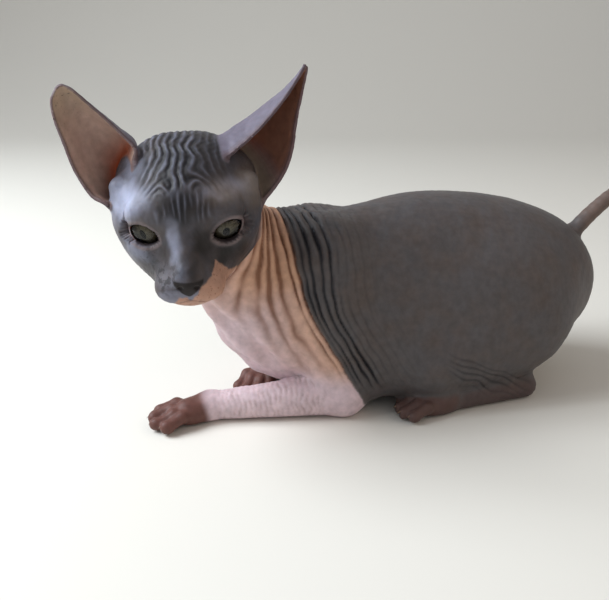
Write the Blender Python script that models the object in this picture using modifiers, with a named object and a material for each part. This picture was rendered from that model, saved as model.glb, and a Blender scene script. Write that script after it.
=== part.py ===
"""A sphynx kitten, about ten weeks old, crouching with its head turned to its left.

Metres, +Z up. The kitten faces -Y and its left side is +X. The floor is z = 0.
Soft forms are balls and tapered limbs, fused by a voxel remesh and drawn onto one smooth blend of the same
balls and limbs. The body is then parted into named nodes by thin cuts.
"""

import copy
import math

import bmesh
import bpy
import numpy as np
from mathutils import Euler, Matrix, Vector

MM = 0.001

# Driving dimensions, in millimetres. Balls, limbs and points below are in millimetres too.
BACK_HEIGHT = 101  # floor to the top of the back
BELLY_HALF_WIDTH = 39
EYE_SPACING = 30.4  # between the eyeballs' centres
EYE_RADIUS = 8.6
EYE_OPENING = (13.4, 8.8)
EYE_OUTWARD = 13  # degrees that each eye is turned outwards
EYE_UPWARD = 9
EAR_THICKNESS = 1.3
TAIL_ROOT_RADIUS = 4.4
TAIL_TIP_RADIUS = 1.3
GAP = 0.3  # between neighbouring nodes

# Where the head sits: the point midway between the eyeballs, and the way the head is turned.
HEAD_PLACE = (37.5, -112.4, 99.5)
HEAD_TURN = (14, -2, 80.5)

# Fineness of the meshes.
BODY_VOXEL = 2.2
HEAD_VOXEL = 0.95
PAW_VOXEL = 1.0
BODY_TRIANGLES = 2700
HEAD_TRIANGLES = 2300
PAW_TRIANGLES = 460

LID_STEPS = 24
LID_TILT = 16
EAR_STEPS = 10
TAIL_STEPS = 40

# Where the neck is parted from the torso, and the way the neck's side of the cut faces.
NECK_CUT = (0, -79, 70)
NECK_CUT_FACING = (0, -0.917, 0.398)

# Each paw: name, where its wrist or instep stands, turn, width and length.
PAWS = (
    ("forepaw_left", (16, -105, 0), 8, 20, 26),
    ("forepaw_right", (-19, -68, 0), 58, 19, 24),
    ("hind_paw_left", (39, 10, 0), 3, 18, 25),
    ("hind_paw_right", (-39, 10, 0), -3, 18, 25),
)

# Lines on the face, on the head's own axes.
MOUTH_LINE = ((-13.5, -5, -19), (-11, -13, -22.5), (-7, -19, -23.5), (-3, -21, -22.3), (0, -21.5, -21),
              (3, -21, -22.3), (7, -19, -23.5), (11, -13, -22.5), (13.5, -5, -19))
PHILTRUM = ((0, -23.5, -15.5), (0, -22.5, -18), (0, -21.5, -21))
NOSTRIL = ((2.0, -23.4, -14.4), (3.4, -22.6, -13.4), (4.6, -21.2, -12.8))

# Each ear: its inner rim, the middle of its back and its outer rim, from inside the head to the tip, on the
# head's own axes.
EARS = {
    "ear_right": (
        ((-15, 14, 14), (-19.4, 13, 23.6), (-18.2, 15, 29.9), (-22.7, 17.5, 35.3), (-28.4, 19, 41.7),
         (-34.5, 20.5, 47.8), (-40, 21.5, 53.4), (-43.5, 21.5, 55.6)),
        ((-21, 32, 6), (-28.7, 31, 13.6), (-29.2, 34, 22.5), (-34.4, 33, 31.3), (-38.8, 30.5, 40),
         (-42, 27, 47), (-44, 24, 52.4), (-44.7, 22, 55.5)),
        ((-26, 11, 0), (-32.2, 9, 9.4), (-38.2, 12, 12), (-43.7, 16, 21), (-46.8, 18.5, 33),
         (-48.8, 20, 41.6), (-49, 21, 49.4), (-45.9, 21.5, 54.9)),
    ),
    "ear_left": (
        ((12, 15, 14), (15.9, 13, 22.9), (22.4, 15, 27.4), (29.3, 18, 31.9), (36.3, 21, 37.7),
         (43.4, 24, 44.8), (49.5, 27, 52.3), (52.9, 29, 57.7)),
        ((18, 33, 9), (20.1, 35, 19.6), (25.9, 39, 26.4), (32.3, 41, 31.7), (38.9, 39, 38.6),
         (44.4, 36, 44.2), (49.3, 33, 50.5), (52.8, 30.5, 56.4)),
        ((26, 13, -4), (31.1, 12, 3.2), (41.6, 18, 13.7), (46, 21, 23.2), (47.9, 24, 32.5),
         (49.8, 27, 40), (51.9, 29, 47.8), (54, 30, 56.5)),
    ),
}
EAR_STATIONS = (0.0, 0.12, 0.2, 0.28, 0.38, 0.5, 0.62, 0.74, 0.84, 0.92, 0.97, 1.0)
# How far the cup wraps round each way of its middle, in degrees, against the share of its length.
EAR_WRAPS = ((0.0, 0.14, 0.28, 0.43, 0.57, 0.71, 0.86, 1.0), (120, 112, 96, 80, 66, 54, 42, 30))

# The tail's middle line.
TAIL_WAY = ((0, 92, 70), (0, 108, 86), (1, 124, 97), (6, 140, 97), (14, 153, 82), (22, 160, 58),
            (29, 161, 32), (38, 156, 11), (49, 143, 3.2), (57, 126, 2.4), (58, 110, 1.6))
TAIL_SPAN = 200
TAIL_CUTS = (0.36, 0.70)

GREY_SKIN = (0.115, 0.108, 0.118)
PINK_SKIN = (0.62, 0.40, 0.36)
EAR_SKIN = (0.30, 0.20, 0.20)
EYE_GREEN = (0.20, 0.19, 0.10)


MIRROR = np.array((-1.0, 1.0, 1.0))


class Ball:
    """An ellipsoid: centre, three radii and an optional turn."""

    def __init__(self, centre, radii, turn=(0.0, 0.0, 0.0), blend=8):
        self.centre = np.array(centre, float) * MM
        self.radii = np.array(radii, float) * MM
        self.turn = Euler([math.radians(a) for a in turn]).to_matrix()
        self.blend = blend * MM

    def distance(self, points):
        local = (points - self.centre) @ np.array(self.turn)
        scaled = np.linalg.norm(local / self.radii, axis=1)
        steep = np.linalg.norm(local / self.radii**2, axis=1) + 1e-9
        return scaled * (scaled - 1.0) / steep

    def add_to(self, mesh):
        place = Matrix.Translation(self.centre) @ self.turn.to_4x4() @ Matrix.Diagonal((*self.radii, 1.0))
        bmesh.ops.create_uvsphere(mesh, u_segments=16, v_segments=10, radius=1.0, matrix=place)


class Limb:
    """A straight length of leg, neck or tail: two ends and a radius at each."""

    def __init__(self, start, end, start_radius, end_radius, blend=8):
        self.start = np.array(start, float) * MM
        self.end = np.array(end, float) * MM
        self.start_radius = start_radius * MM
        self.end_radius = end_radius * MM
        self.blend = blend * MM

    def distance(self, points):
        along = self.end - self.start
        share = np.clip((points - self.start) @ along / (along @ along), 0.0, 1.0)
        radius = self.start_radius + (self.end_radius - self.start_radius) * share
        return np.linalg.norm(points - self.start - share[:, None] * along, axis=1) - radius

    def add_to(self, mesh):
        along = Vector(self.end - self.start)
        middle = Matrix.Translation((self.start + self.end) / 2) @ along.to_track_quat("Z", "Y").to_matrix().to_4x4()
        bmesh.ops.create_cone(
            mesh,
            cap_ends=True,
            segments=12,
            radius1=self.start_radius,
            radius2=self.end_radius,
            depth=along.length,
            matrix=middle,
        )
        for end, radius in ((self.start, self.start_radius), (self.end, self.end_radius)):
            bmesh.ops.create_uvsphere(
                mesh, u_segments=12, v_segments=8, radius=radius, matrix=Matrix.Translation(end)
            )


def both_sides(*forms):
    """Each form and its mirror image across the plane of symmetry."""
    made = []
    for form in forms:
        twin = copy.copy(form)
        if isinstance(form, Ball):
            twin.centre = form.centre * MIRROR
            twin.turn = Matrix.Diagonal(MIRROR) @ form.turn @ Matrix.Diagonal(MIRROR)
        else:
            twin.start = form.start * MIRROR
            twin.end = form.end * MIRROR
        made += [form, twin]
    return made


def blended_distance(forms, points):
    """Signed distance to the smooth union of the forms, each faired in over its own blend width."""
    total = forms[0].distance(points)
    for form in forms[1:]:
        other = form.distance(points)
        overlap = np.maximum(form.blend - np.abs(total - other), 0.0) / form.blend
        total = np.minimum(total, other) - overlap**2 * form.blend / 4
    return total


def draw_onto(forms, points, rounds=4):
    """Moves points along the gradient until they lie on the blend's surface."""
    step = 1e-5
    for _ in range(rounds):
        here = blended_distance(forms, points)
        slope = np.stack(
            [(blended_distance(forms, points + step * axis) - here) / step for axis in np.eye(3)], axis=1
        )
        points = points - here[:, None] * slope / np.maximum((slope**2).sum(axis=1), 0.05)[:, None]
    return points


def relaxed(points, edges, rounds=2):
    """Evens out the spacing of a mesh's points."""
    count = np.bincount(edges.ravel(), minlength=len(points))[:, None]
    for _ in range(rounds):
        total = np.zeros_like(points)
        np.add.at(total, edges[:, 0], points[edges[:, 1]])
        np.add.at(total, edges[:, 1], points[edges[:, 0]])
        points = 0.5 * points + 0.5 * total / count
    return points


def way_point(way, share):
    """A point that share of the way along, by Catmull-Rom through the way's points."""
    spans = len(way) - 1
    index = min(int(share * spans), spans - 1)
    t = share * spans - index
    a, b, c, d = [Vector(way[min(max(index + k, 0), spans)]) for k in (-1, 0, 1, 2)]
    return 0.5 * (2 * b + (c - a) * t + (2 * a - 5 * b + 4 * c - d) * t**2 + (3 * b - a - 3 * c + d) * t**3)


def new_object(name, mesh, collection="kitten"):
    """An object of that mesh, linked to a collection that is made when first needed."""
    if isinstance(mesh, bmesh.types.BMesh):
        data = bpy.data.meshes.new(name)
        mesh.to_mesh(data)
        mesh.free()
    else:
        data = mesh
    obj = bpy.data.objects.new(name, data)
    if collection not in bpy.data.collections:
        bpy.context.scene.collection.children.link(bpy.data.collections.new(collection))
    bpy.data.collections[collection].objects.link(obj)
    if collection == "cutters":
        obj.hide_render = True
        obj.display_type = "WIRE"
    return obj


def apply_modifiers(obj):
    """Replaces the object's mesh by its evaluated one."""
    graph = bpy.context.evaluated_depsgraph_get()
    mesh = bpy.data.meshes.new_from_object(obj.evaluated_get(graph))
    obj.modifiers.clear()
    obj.data = mesh
    return obj


def points_of(mesh):
    flat = np.empty(len(mesh.vertices) * 3)
    mesh.vertices.foreach_get("co", flat)
    return flat.reshape(-1, 3)


def set_points(mesh, points):
    mesh.vertices.foreach_set("co", points.ravel())
    mesh.update()


def edges_of(mesh):
    flat = np.empty(len(mesh.edges) * 2, np.int32)
    mesh.edges.foreach_get("vertices", flat)
    return flat.reshape(-1, 2)


def soft_form(name, forms, voxel, triangles):
    """One closed soft solid from balls and limbs, thinned to about that many triangles."""
    shape = bmesh.new()
    for form in forms:
        form.add_to(shape)
    obj = new_object(name, shape)
    fuse = obj.modifiers.new("fuse", "REMESH")
    fuse.mode = "VOXEL"
    fuse.voxel_size = voxel * MM
    apply_modifiers(obj)
    edges = edges_of(obj.data)
    points = draw_onto(forms, relaxed(points_of(obj.data), edges, rounds=6))
    points = draw_onto(forms, relaxed(points, edges), rounds=2)
    set_points(obj.data, points)
    thin = obj.modifiers.new("thin", "DECIMATE")
    thin.ratio = min(1.0, triangles / (2.0 * len(obj.data.polygons)))
    return apply_modifiers(obj)


def cut(obj, cutter, operation="DIFFERENCE"):
    """Applies one Boolean and keeps the largest closed surface."""
    boolean = obj.modifiers.new("cut", "BOOLEAN")
    boolean.operation = operation
    boolean.solver = "MANIFOLD"
    boolean.object = cutter
    apply_modifiers(obj)
    return keep_largest(obj)


def keep_largest(obj):
    """Drops loose scraps that a cut leaves."""
    shape = bmesh.new()
    shape.from_mesh(obj.data)
    unseen = set(shape.verts)
    islands = []
    while unseen:
        island = {unseen.pop()}
        edge_of_search = list(island)
        while edge_of_search:
            vertex = edge_of_search.pop()
            fresh = {e.other_vert(vertex) for e in vertex.link_edges} & unseen
            unseen -= fresh
            island |= fresh
            edge_of_search.extend(fresh)
        islands.append(island)
    largest = max(islands, key=len)
    scraps = [v for island in islands if island is not largest for v in island]
    bmesh.ops.delete(shape, geom=scraps, context="VERTS")
    shape.to_mesh(obj.data)
    shape.free()
    return obj


def grown(obj, by=GAP):
    """A cutter: the object's own shape, swollen by the gap."""
    cutter = new_object(obj.name + "_grown", obj.data.copy(), "cutters")
    swell = cutter.modifiers.new("swell", "DISPLACE")
    swell.mid_level = 0.0
    swell.strength = by * MM
    return apply_modifiers(cutter)


def clear_of(obj, neighbour):
    """Cuts the object back from its neighbour by the gap."""
    return cut(obj, grown(neighbour))


def boxes_meet(one, other):
    """Whether two objects' boxes come within the gap of each other."""
    one = points_of(one.data)
    other = points_of(other.data)
    room = GAP * MM
    return bool(np.all(one.min(0) < other.max(0) + room) and np.all(other.min(0) < one.max(0) + room))


def stand_flat(obj):
    """Cuts a sole flat where it meets the floor."""
    shape = bmesh.new()
    shape.from_mesh(obj.data)
    everything = shape.verts[:] + shape.edges[:] + shape.faces[:]
    bmesh.ops.bisect_plane(
        shape, geom=everything, plane_co=(0, 0, 0), plane_no=(0, 0, 1), clear_inner=True, dist=1e-6
    )
    rim = [e for e in shape.edges if e.is_boundary]
    bmesh.ops.holes_fill(shape, edges=rim)
    shape.to_mesh(obj.data)
    shape.free()
    return obj


def finish(obj, colour, roughness):
    material = bpy.data.materials.get(obj.name) or bpy.data.materials.new(obj.name)
    material.use_nodes = True
    surface = material.node_tree.nodes["Principled BSDF"]
    surface.inputs["Base Color"].default_value = (*colour, 1.0)
    surface.inputs["Roughness"].default_value = roughness
    surface.inputs["Metallic"].default_value = 0.0
    obj.data.materials.clear()
    obj.data.materials.append(material)
    obj.data.shade_smooth()
    obj.data.set_sharp_from_angle(angle=math.radians(40))


# The trunk, neck and legs: one blend, parted afterwards.

CHEST = (0, -56, 50)
BELLY = (0, 8, BACK_HEIGHT - 47)
RUMP = (0, 60, 51)
NECK_ROOT = (0, -58, 60)
NECK_TOP = (5, -99, 90)
SHOULDER = (17, -46, 76)
ELBOW_LEFT = (27, -40, 10.2)
ELBOW_RIGHT = (-27, -28, 10.2)
WRIST_LEFT = (16.5, -103, 6.5)
WRIST_RIGHT = (-20, -67, 6.5)
HIP = (26, 54, 38)
KNEE = (33, 4, 22)
HEEL = (34, 55, 5.9)
HIND_TOES = (38.5, 8, 4.9)
MIRRORED = {1: "left", -1: "right"}


def mirrored(point, side):
    return (point[0] * side, point[1], point[2])


def forearm_limb(side, margin=0.0):
    ends = (ELBOW_LEFT, WRIST_LEFT) if side > 0 else (ELBOW_RIGHT, WRIST_RIGHT)
    return Limb(*ends, 10.5 + margin, 6.8 + margin, blend=4)


def hind_foot_limb(side, margin=0.0):
    return Limb(mirrored(HEEL, side), mirrored(HIND_TOES, side), 6.4 + margin, 5.4 + margin, blend=6)


def trunk_forms():
    return [
        Ball(CHEST, (29, 36, 42)),
        Ball(BELLY, (BELLY_HALF_WIDTH, 62, 47), blend=30),
        Ball(RUMP, (36, 46.5, 38.5), blend=30),
        Limb(NECK_ROOT, NECK_TOP, 27, 21, blend=18),
        Limb((2, -80, 50), (6, -97, 78), 17, 16, blend=14),
        *both_sides(
            Ball((25, 38, 42), (20, 41, 36), (18, 0, 0), blend=14),
            Ball((20, -12, 29), (19, 32, 25), blend=20),
            Limb(HIP, KNEE, 20, 14, blend=12),
            hind_foot_limb(1),
        ),
        Limb(SHOULDER, ELBOW_LEFT, 17, 11, blend=12),
        Limb(mirrored(SHOULDER, -1), ELBOW_RIGHT, 17, 11, blend=12),
        forearm_limb(1),
        forearm_limb(-1),
    ]


def region(name, form):
    """A cutter of one form's own plain shape."""
    shape = bmesh.new()
    form.add_to(shape)
    made = bmesh.ops.convex_hull(shape, input=shape.verts)
    bmesh.ops.delete(shape, geom=list({*made["geom_interior"], *made["geom_unused"]}), context="VERTS")
    inner = [f for f in shape.faces if f not in set(made["geom"])]
    bmesh.ops.delete(shape, geom=inner, context="FACES")
    return new_object(name, shape, "cutters")


def parted(body, name, form):
    """Takes the part of the body inside the form away as a node of its own."""
    cutter = region(name + "_region", form)
    piece = new_object(name, body.data.copy())
    cut(piece, cutter, "INTERSECT")
    cut(body, grown(cutter))
    return piece


def slab(name, place, facing):
    """A big box whose near face passes through a point, square to the direction it faces."""
    facing = Vector(facing).normalized()
    size = 300 * MM
    turn = facing.to_track_quat("Z", "Y").to_matrix().to_4x4()
    shape = bmesh.new()
    middle = Matrix.Translation(Vector(place) * MM + facing * size / 2)
    bmesh.ops.create_cube(shape, size=size, matrix=middle @ turn)
    return new_object(name, shape, "cutters")


def build_body():
    """Torso, neck and legs without the paws."""
    torso = soft_form("torso", trunk_forms(), BODY_VOXEL, BODY_TRIANGLES)
    stand_flat(torso)
    nodes = [torso]
    for side, word in MIRRORED.items():
        nodes.append(parted(torso, "forearm_" + word, forearm_limb(side, 2.5)))
        nodes.append(parted(torso, "hind_leg_" + word, hind_foot_limb(side, 2.5)))
        arm = Ball((31 * side, -47, 42), (15, 20, 37), blend=1)
        nodes.append(parted(torso, "upper_arm_" + word, arm))
        thigh = Ball((37 * side, 36, 40), (19, 46, 38), (18, 0, 0), blend=1)
        nodes.append(parted(torso, "thigh_" + word, thigh))
    neck = new_object("neck", torso.data.copy())
    facing = Vector(NECK_CUT_FACING).normalized()
    cut(torso, slab("neck_front", NECK_CUT, facing))
    cut(neck, slab("neck_back", Vector(NECK_CUT) + facing * GAP, -facing))
    return nodes


# Paws, modelled facing -Y with the wrist at the origin's height.


def paw_forms(place, turn, width, length):
    """Four toes spread from a palm, each with a raised knuckle and a rounded end."""
    made = [Ball((0, -0.32 * length, 4.8), (0.40 * width, 0.38 * length, 5.4), blend=3)]
    made.append(Limb((0, 0, 7.0), (0, -0.35 * length, 6.4), 6.2, 5.2, blend=4))
    for share, reach in ((-0.38, 0.80), (-0.14, 0.95), (0.14, 0.97), (0.38, 0.84)):
        root = (share * width * 0.60, -0.30 * length, 5.6)
        knuckle = (share * width * 0.92, -(reach - 0.30) * length, 6.5)
        tip = (share * width * 1.12, -reach * length, 3.7)
        made.append(Limb(root, knuckle, 0.120 * width, 0.148 * width, blend=1.5))
        made.append(Limb(knuckle, tip, 0.148 * width, 0.135 * width, blend=1.2))
        made.append(Ball(tip, (0.155 * width, 0.175 * width, 0.155 * width), blend=1.0))
    spin = Matrix.Rotation(math.radians(turn), 3, "Z")
    for form in made:
        if isinstance(form, Ball):
            form.centre = np.array(spin @ Vector(form.centre)) + np.array(place) * MM
            form.turn = spin @ form.turn
        else:
            form.start = np.array(spin @ Vector(form.start)) + np.array(place) * MM
            form.end = np.array(spin @ Vector(form.end)) + np.array(place) * MM
    return made


def build_paws():
    made = []
    for name, place, turn, width, length in PAWS:
        paw = soft_form(name, paw_forms(place, turn, width, length), PAW_VOXEL, PAW_TRIANGLES)
        made.append(stand_flat(paw))
    return made


# The head, modelled facing -Y about the point midway between the eyeballs.


def head_forms():
    return [
        Ball((0, 24, 4), (26.5, 29, 27)),
        *both_sides(
            Ball((10, 25, 12.8), (12.5, 20, 13.8), blend=10),
            Limb((17, 26, 8), (22, 27, 14), 8, 6, blend=8),
            Limb((23, 11, 2), (27.5, 13.5, 15), 6, 3.2, blend=7),
            Ball((18.5, 19, -1), (11.5, 16, 14), blend=10),
            Ball((15.8, 8, -7), (10, 14, 10), blend=9),
            Ball((9, -1, -8.5), (6, 8, 7), blend=6),
            Limb((15.5, 12, -16), (6.0, -7, -22.0), 8.5, 6.0, blend=8),
            Ball((EYE_SPACING / 2, 4.6, 0), (EYE_RADIUS + 1.2,) * 3, blend=4),
            Limb((7.0, -4.5, 9.5), (19, -0.5, 10), 4.2, 3.8, blend=6),
        ),
        Ball((0, 6, 12), (17, 14, 13), blend=10),
        Limb((0, 0, 2), (0, -16.0, -10.5), 8.6, 5.8, blend=8),
        Ball((0, -9.5, -17), (11.5, 11, 8), blend=8),
        *both_sides(Ball((6.2, -14.0, -18.4), (8.0, 7.6, 5.8), blend=4)),
        Ball((0, -9.5, -23.4), (7.6, 7.4, 5.0), blend=4),
        Ball((0, -20.0, -13.0), (6.0, 3.2, 3.8), blend=2.5),
    ]


def eye_place(side):
    return Vector((side * EYE_SPACING / 2, 4.6, 0)) * MM


def eye_turn(side):
    """Turns -Y to the way the eye looks."""
    return Euler((math.radians(-EYE_UPWARD), 0, math.radians(EYE_OUTWARD * side))).to_matrix().to_4x4()


def eyeball(name, side, radius, collection="kitten"):
    shape = bmesh.new()
    quarter = Matrix.Rotation(math.radians(90), 4, "X")
    place = Matrix.Translation(eye_place(side)) @ eye_turn(side) @ quarter
    bmesh.ops.create_uvsphere(shape, u_segments=18, v_segments=11, radius=radius * MM, matrix=place)
    return new_object(name, shape, collection)


def lid_opening(side):
    """A cutter: the lemon-shaped gap between the lids, its inner corner low."""
    shape = bmesh.new()
    width, height = EYE_OPENING
    ring = []
    for step in range(LID_STEPS):
        angle = 2 * math.pi * step / LID_STEPS
        across = math.cos(angle) * width / 2
        up = math.sin(angle) * height / 2 * (1 - 0.35 * math.cos(angle) ** 2)
        ring.append((across * side, up))
    tilt = Matrix.Rotation(math.radians(-LID_TILT * side), 4, "Y")
    place = Matrix.Translation(eye_place(side)) @ eye_turn(side) @ tilt
    rings = []
    for depth, scale in ((0.55 * EYE_RADIUS, 0.9), (EYE_RADIUS + 1.2, 1.0), (EYE_RADIUS + 8, 1.7)):
        rings.append([shape.verts.new(Vector((x * scale, -depth, z * scale)) * MM) for x, z in ring])
    for near, far in zip(rings, rings[1:]):
        for i in range(LID_STEPS):
            j = (i + 1) % LID_STEPS
            shape.faces.new((near[i], near[j], far[j], far[i]))
    shape.faces.new(rings[0])
    shape.faces.new(rings[-1])
    bmesh.ops.transform(shape, matrix=place, verts=shape.verts)
    bmesh.ops.recalc_face_normals(shape, faces=shape.faces)
    return new_object("lid_opening", shape, "cutters")


def mesh_of_curve(curve):
    """The closed mesh of a bevelled curve with caps. The curve itself goes."""
    mesh = bpy.data.meshes.new_from_object(curve.evaluated_get(bpy.context.evaluated_depsgraph_get()))
    bpy.data.objects.remove(curve)
    shape = bmesh.new()
    shape.from_mesh(mesh)
    bmesh.ops.remove_doubles(shape, verts=shape.verts, dist=1e-6)
    bmesh.ops.recalc_face_normals(shape, faces=shape.faces)
    shape.to_mesh(mesh)
    shape.free()
    return mesh


def groove(name, points, radius):
    """A cutter: a round tube through points that are first drawn onto the head."""
    drawn = draw_onto(head_forms(), np.array(points, float) * MM)
    path = bpy.data.curves.new(name, "CURVE")
    path.dimensions = "3D"
    path.bevel_depth = radius * MM
    path.bevel_resolution = 1
    path.use_fill_caps = True
    spline = path.splines.new("POLY")
    spline.points.add(len(drawn) - 1)
    for spot, place in zip(spline.points, drawn):
        spot.co = (*place, 1)
    curve = bpy.data.objects.new(name, path)
    bpy.context.scene.collection.objects.link(curve)
    return new_object(name, mesh_of_curve(curve), "cutters")


def build_head():
    head = soft_form("head", head_forms(), HEAD_VOXEL, HEAD_TRIANGLES)
    for side in (1, -1):
        cut(head, cut(eyeball("socket", side, EYE_RADIUS + GAP, "cutters"), lid_opening(side), "UNION"))
    cut(head, groove("mouth", MOUTH_LINE, 0.6))
    cut(head, groove("philtrum", PHILTRUM, 0.45))
    for side in (1, -1):
        cut(head, groove("nostril", [mirrored(p, side) for p in NOSTRIL], 0.7))
    return head


# Ears: cupped sheets given a thickness.


def ear_sheet(name, inner_rim, back, outer_rim):
    """An ear from its base to its tip: each row an arc from one rim by the back to the other."""
    shape = bmesh.new()
    rows = []
    for share in EAR_STATIONS:
        inner, middle, outer = [way_point(way, share) for way in (inner_rim, back, outer_rim)]
        wrap = math.radians(float(np.interp(share, *EAR_WRAPS)))
        row = []
        for step in range(EAR_STEPS + 1):
            angle = wrap * (2 * step / EAR_STEPS - 1)
            across = (outer - inner) / 2 * math.sin(angle) / math.sin(wrap)
            forward = ((inner + outer) / 2 - middle) * (1 - math.cos(angle)) / (1 - math.cos(wrap))
            row.append(shape.verts.new((middle + across + forward) * MM))
        rows.append(row)
    for low, high in zip(rows, rows[1:]):
        for i in range(EAR_STEPS):
            shape.faces.new((low[i], low[i + 1], high[i + 1], high[i]))
    obj = new_object(name, shape)
    thick = obj.modifiers.new("thick", "SOLIDIFY")
    thick.thickness = EAR_THICKNESS * MM
    thick.offset = 0.0
    apply_modifiers(obj)
    closed = bmesh.new()
    closed.from_mesh(obj.data)
    bmesh.ops.triangulate(closed, faces=closed.faces)
    bmesh.ops.recalc_face_normals(closed, faces=closed.faces)
    closed.to_mesh(obj.data)
    closed.free()
    return obj


def build_ears(head):
    made = []
    for name, rims in EARS.items():
        made.append(clear_of(ear_sheet(name, *rims), head))
    return made


# The tail: lengths of one smooth taper.


def tail_length(name, start, end):
    path = bpy.data.curves.new(name, "CURVE")
    path.dimensions = "3D"
    path.bevel_depth = MM
    path.bevel_resolution = 2
    path.use_fill_caps = True
    spline = path.splines.new("POLY")
    steps = round((end - start) * TAIL_STEPS)
    shares = [start + (end - start) * i / steps for i in range(steps + 1)]
    square_ends = GAP / TAIL_SPAN
    shares = [start, start + square_ends, *shares[1:-1], end - square_ends, end]
    spline.points.add(len(shares) - 1)
    for share, spot in zip(shares, spline.points):
        spot.co = (*(way_point(TAIL_WAY, share) * MM), 1)
        spot.radius = TAIL_ROOT_RADIUS + (TAIL_TIP_RADIUS - TAIL_ROOT_RADIUS) * share**0.8
    curve = bpy.data.objects.new(name, path)
    bpy.context.scene.collection.objects.link(curve)
    return new_object(name, mesh_of_curve(curve))


def build_tail(torso):
    share_gap = 1.5 * GAP / TAIL_SPAN
    base = tail_length("tail_base", 0.0, TAIL_CUTS[0] - share_gap)
    clear_of(base, torso)
    middle = tail_length("tail_middle", TAIL_CUTS[0], TAIL_CUTS[1] - share_gap)
    tip = tail_length("tail_tip", TAIL_CUTS[1], 1.0)
    return [base, middle, tip]


def stand_at_origin(nodes):
    """Slides everything along the floor until its box is centred on the origin."""
    points = np.concatenate([points_of(obj.data) for obj in nodes])
    middle = (points.min(0) + points.max(0)) / 2
    slide = Matrix.Translation((-middle[0], -middle[1], 0))
    for obj in nodes:
        obj.data.transform(slide)


def main():
    for obj in list(bpy.data.objects):
        bpy.data.objects.remove(obj)
    torso = build_body()[0]
    head = build_head()
    ears = build_ears(head)
    eyes = [eyeball("eye_left", 1, EYE_RADIUS), eyeball("eye_right", -1, EYE_RADIUS)]
    carried = Matrix.LocRotScale(Vector(HEAD_PLACE) * MM, Euler([math.radians(a) for a in HEAD_TURN]), None)
    for obj in [head, *ears, *eyes]:
        obj.data.transform(carried)
    body = [obj for obj in bpy.data.collections["kitten"].objects if obj not in {head, *ears, *eyes}]
    clear_of(bpy.data.objects["neck"], head)
    for paw in build_paws():
        for node in body:
            if boxes_meet(paw, node):
                clear_of(node, paw)
    build_tail(torso)
    nodes = list(bpy.data.collections["kitten"].objects)
    stand_at_origin(nodes)
    for obj in nodes:
        if obj.name.startswith("eye"):
            finish(obj, EYE_GREEN, 0.15)
        elif obj.name.startswith("ear"):
            finish(obj, EAR_SKIN, 0.6)
        elif obj.name.startswith(("neck", "fore")):
            finish(obj, PINK_SKIN, 0.6)
        else:
            finish(obj, GREY_SKIN, 0.6)


main()
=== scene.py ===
# %% [markdown]
# # A sphynx kitten
# The kitten lies crouched with its head turned to look at us. It has no coat, so everything that a coat
# would hide is on show: the folds of the neck, the furrows of the forehead, the lids and the big thin ears.
# We load the solid model first, because every piece here has to sit where that model says.

# %% The solid model
import math

import bmesh
import bpy
import numpy as np
from mathutils import Euler, Matrix, Vector
from mathutils.bvhtree import BVHTree


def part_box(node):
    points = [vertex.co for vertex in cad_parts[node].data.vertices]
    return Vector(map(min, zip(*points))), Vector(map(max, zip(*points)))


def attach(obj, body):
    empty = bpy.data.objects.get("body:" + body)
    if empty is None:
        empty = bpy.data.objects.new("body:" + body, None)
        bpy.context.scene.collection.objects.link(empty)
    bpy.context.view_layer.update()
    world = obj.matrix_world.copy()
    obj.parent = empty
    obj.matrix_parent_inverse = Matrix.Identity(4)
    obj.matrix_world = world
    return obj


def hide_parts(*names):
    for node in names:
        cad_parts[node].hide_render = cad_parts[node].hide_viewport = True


MM = 0.001
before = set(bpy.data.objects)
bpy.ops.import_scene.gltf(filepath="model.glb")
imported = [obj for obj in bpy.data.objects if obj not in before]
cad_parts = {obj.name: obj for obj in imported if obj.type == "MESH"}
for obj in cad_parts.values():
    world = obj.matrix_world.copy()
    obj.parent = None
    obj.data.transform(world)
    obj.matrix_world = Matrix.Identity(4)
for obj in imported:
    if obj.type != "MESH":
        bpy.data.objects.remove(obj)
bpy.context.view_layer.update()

# %% [markdown]
# ## Where everything stands
# The forms below are written in millimetres about the kitten's own chest, as in the solid model's source. The
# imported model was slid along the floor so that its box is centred, so one known place, the left eye's middle,
# tells us how far.

# %% The head's place and the slide
HEAD_PLACE = np.array((37.5, -112.4, 99.5))
HEAD_AXES = np.array(Euler([math.radians(a) for a in (14, -2, 80.5)]).to_matrix())
EYE_SPACING = 30.4
EYE_RADIUS = 8.6
SIDES = {"left": 1, "right": -1}


def from_head(points):
    """Points on the head's own axes, put where the head is."""
    return np.asarray(points, float) @ HEAD_AXES.T + HEAD_PLACE


def to_head(points):
    return (points - HEAD_PLACE) @ HEAD_AXES


def eye_middle(side):
    return np.array((side * EYE_SPACING / 2, 4.6, 0.0))


eye_low, eye_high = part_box("eye_left")
SLIDE = np.array((eye_low + eye_high) / 2) / MM - from_head(eye_middle(1))
SLIDE[2] = 0.0
print("slide along the floor", SLIDE.round(2), "mm")

# %% [markdown]
# ## Camera, floor and light
# The picture was taken from the kitten's left, a little in front and above. A 45 mm lens at about 38 cm gives
# the same framing. A soft cool light stands high on the left, a smaller one lower in front of it, and a weak
# warm one on the right fills the shade.

# %% Camera
CAMERA_AZIMUTH = math.radians(75)
CAMERA_HEIGHT = math.radians(20)
CAMERA_DISTANCE = 380
LOOKED_AT = np.array((0.0, -52.0, 50.0))
LENS = 45
SENSOR = 36
IMAGE_WIDTH = 609
IMAGE_HEIGHT = 600


def view_axes():
    """Right, up and back, as the camera has them."""
    a, e = CAMERA_AZIMUTH, CAMERA_HEIGHT
    back = Vector((math.sin(a) * math.cos(e), -math.cos(a) * math.cos(e), math.sin(e)))
    right = Vector((math.cos(a), math.sin(a), 0.0))
    return right, back.cross(right), back


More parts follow.
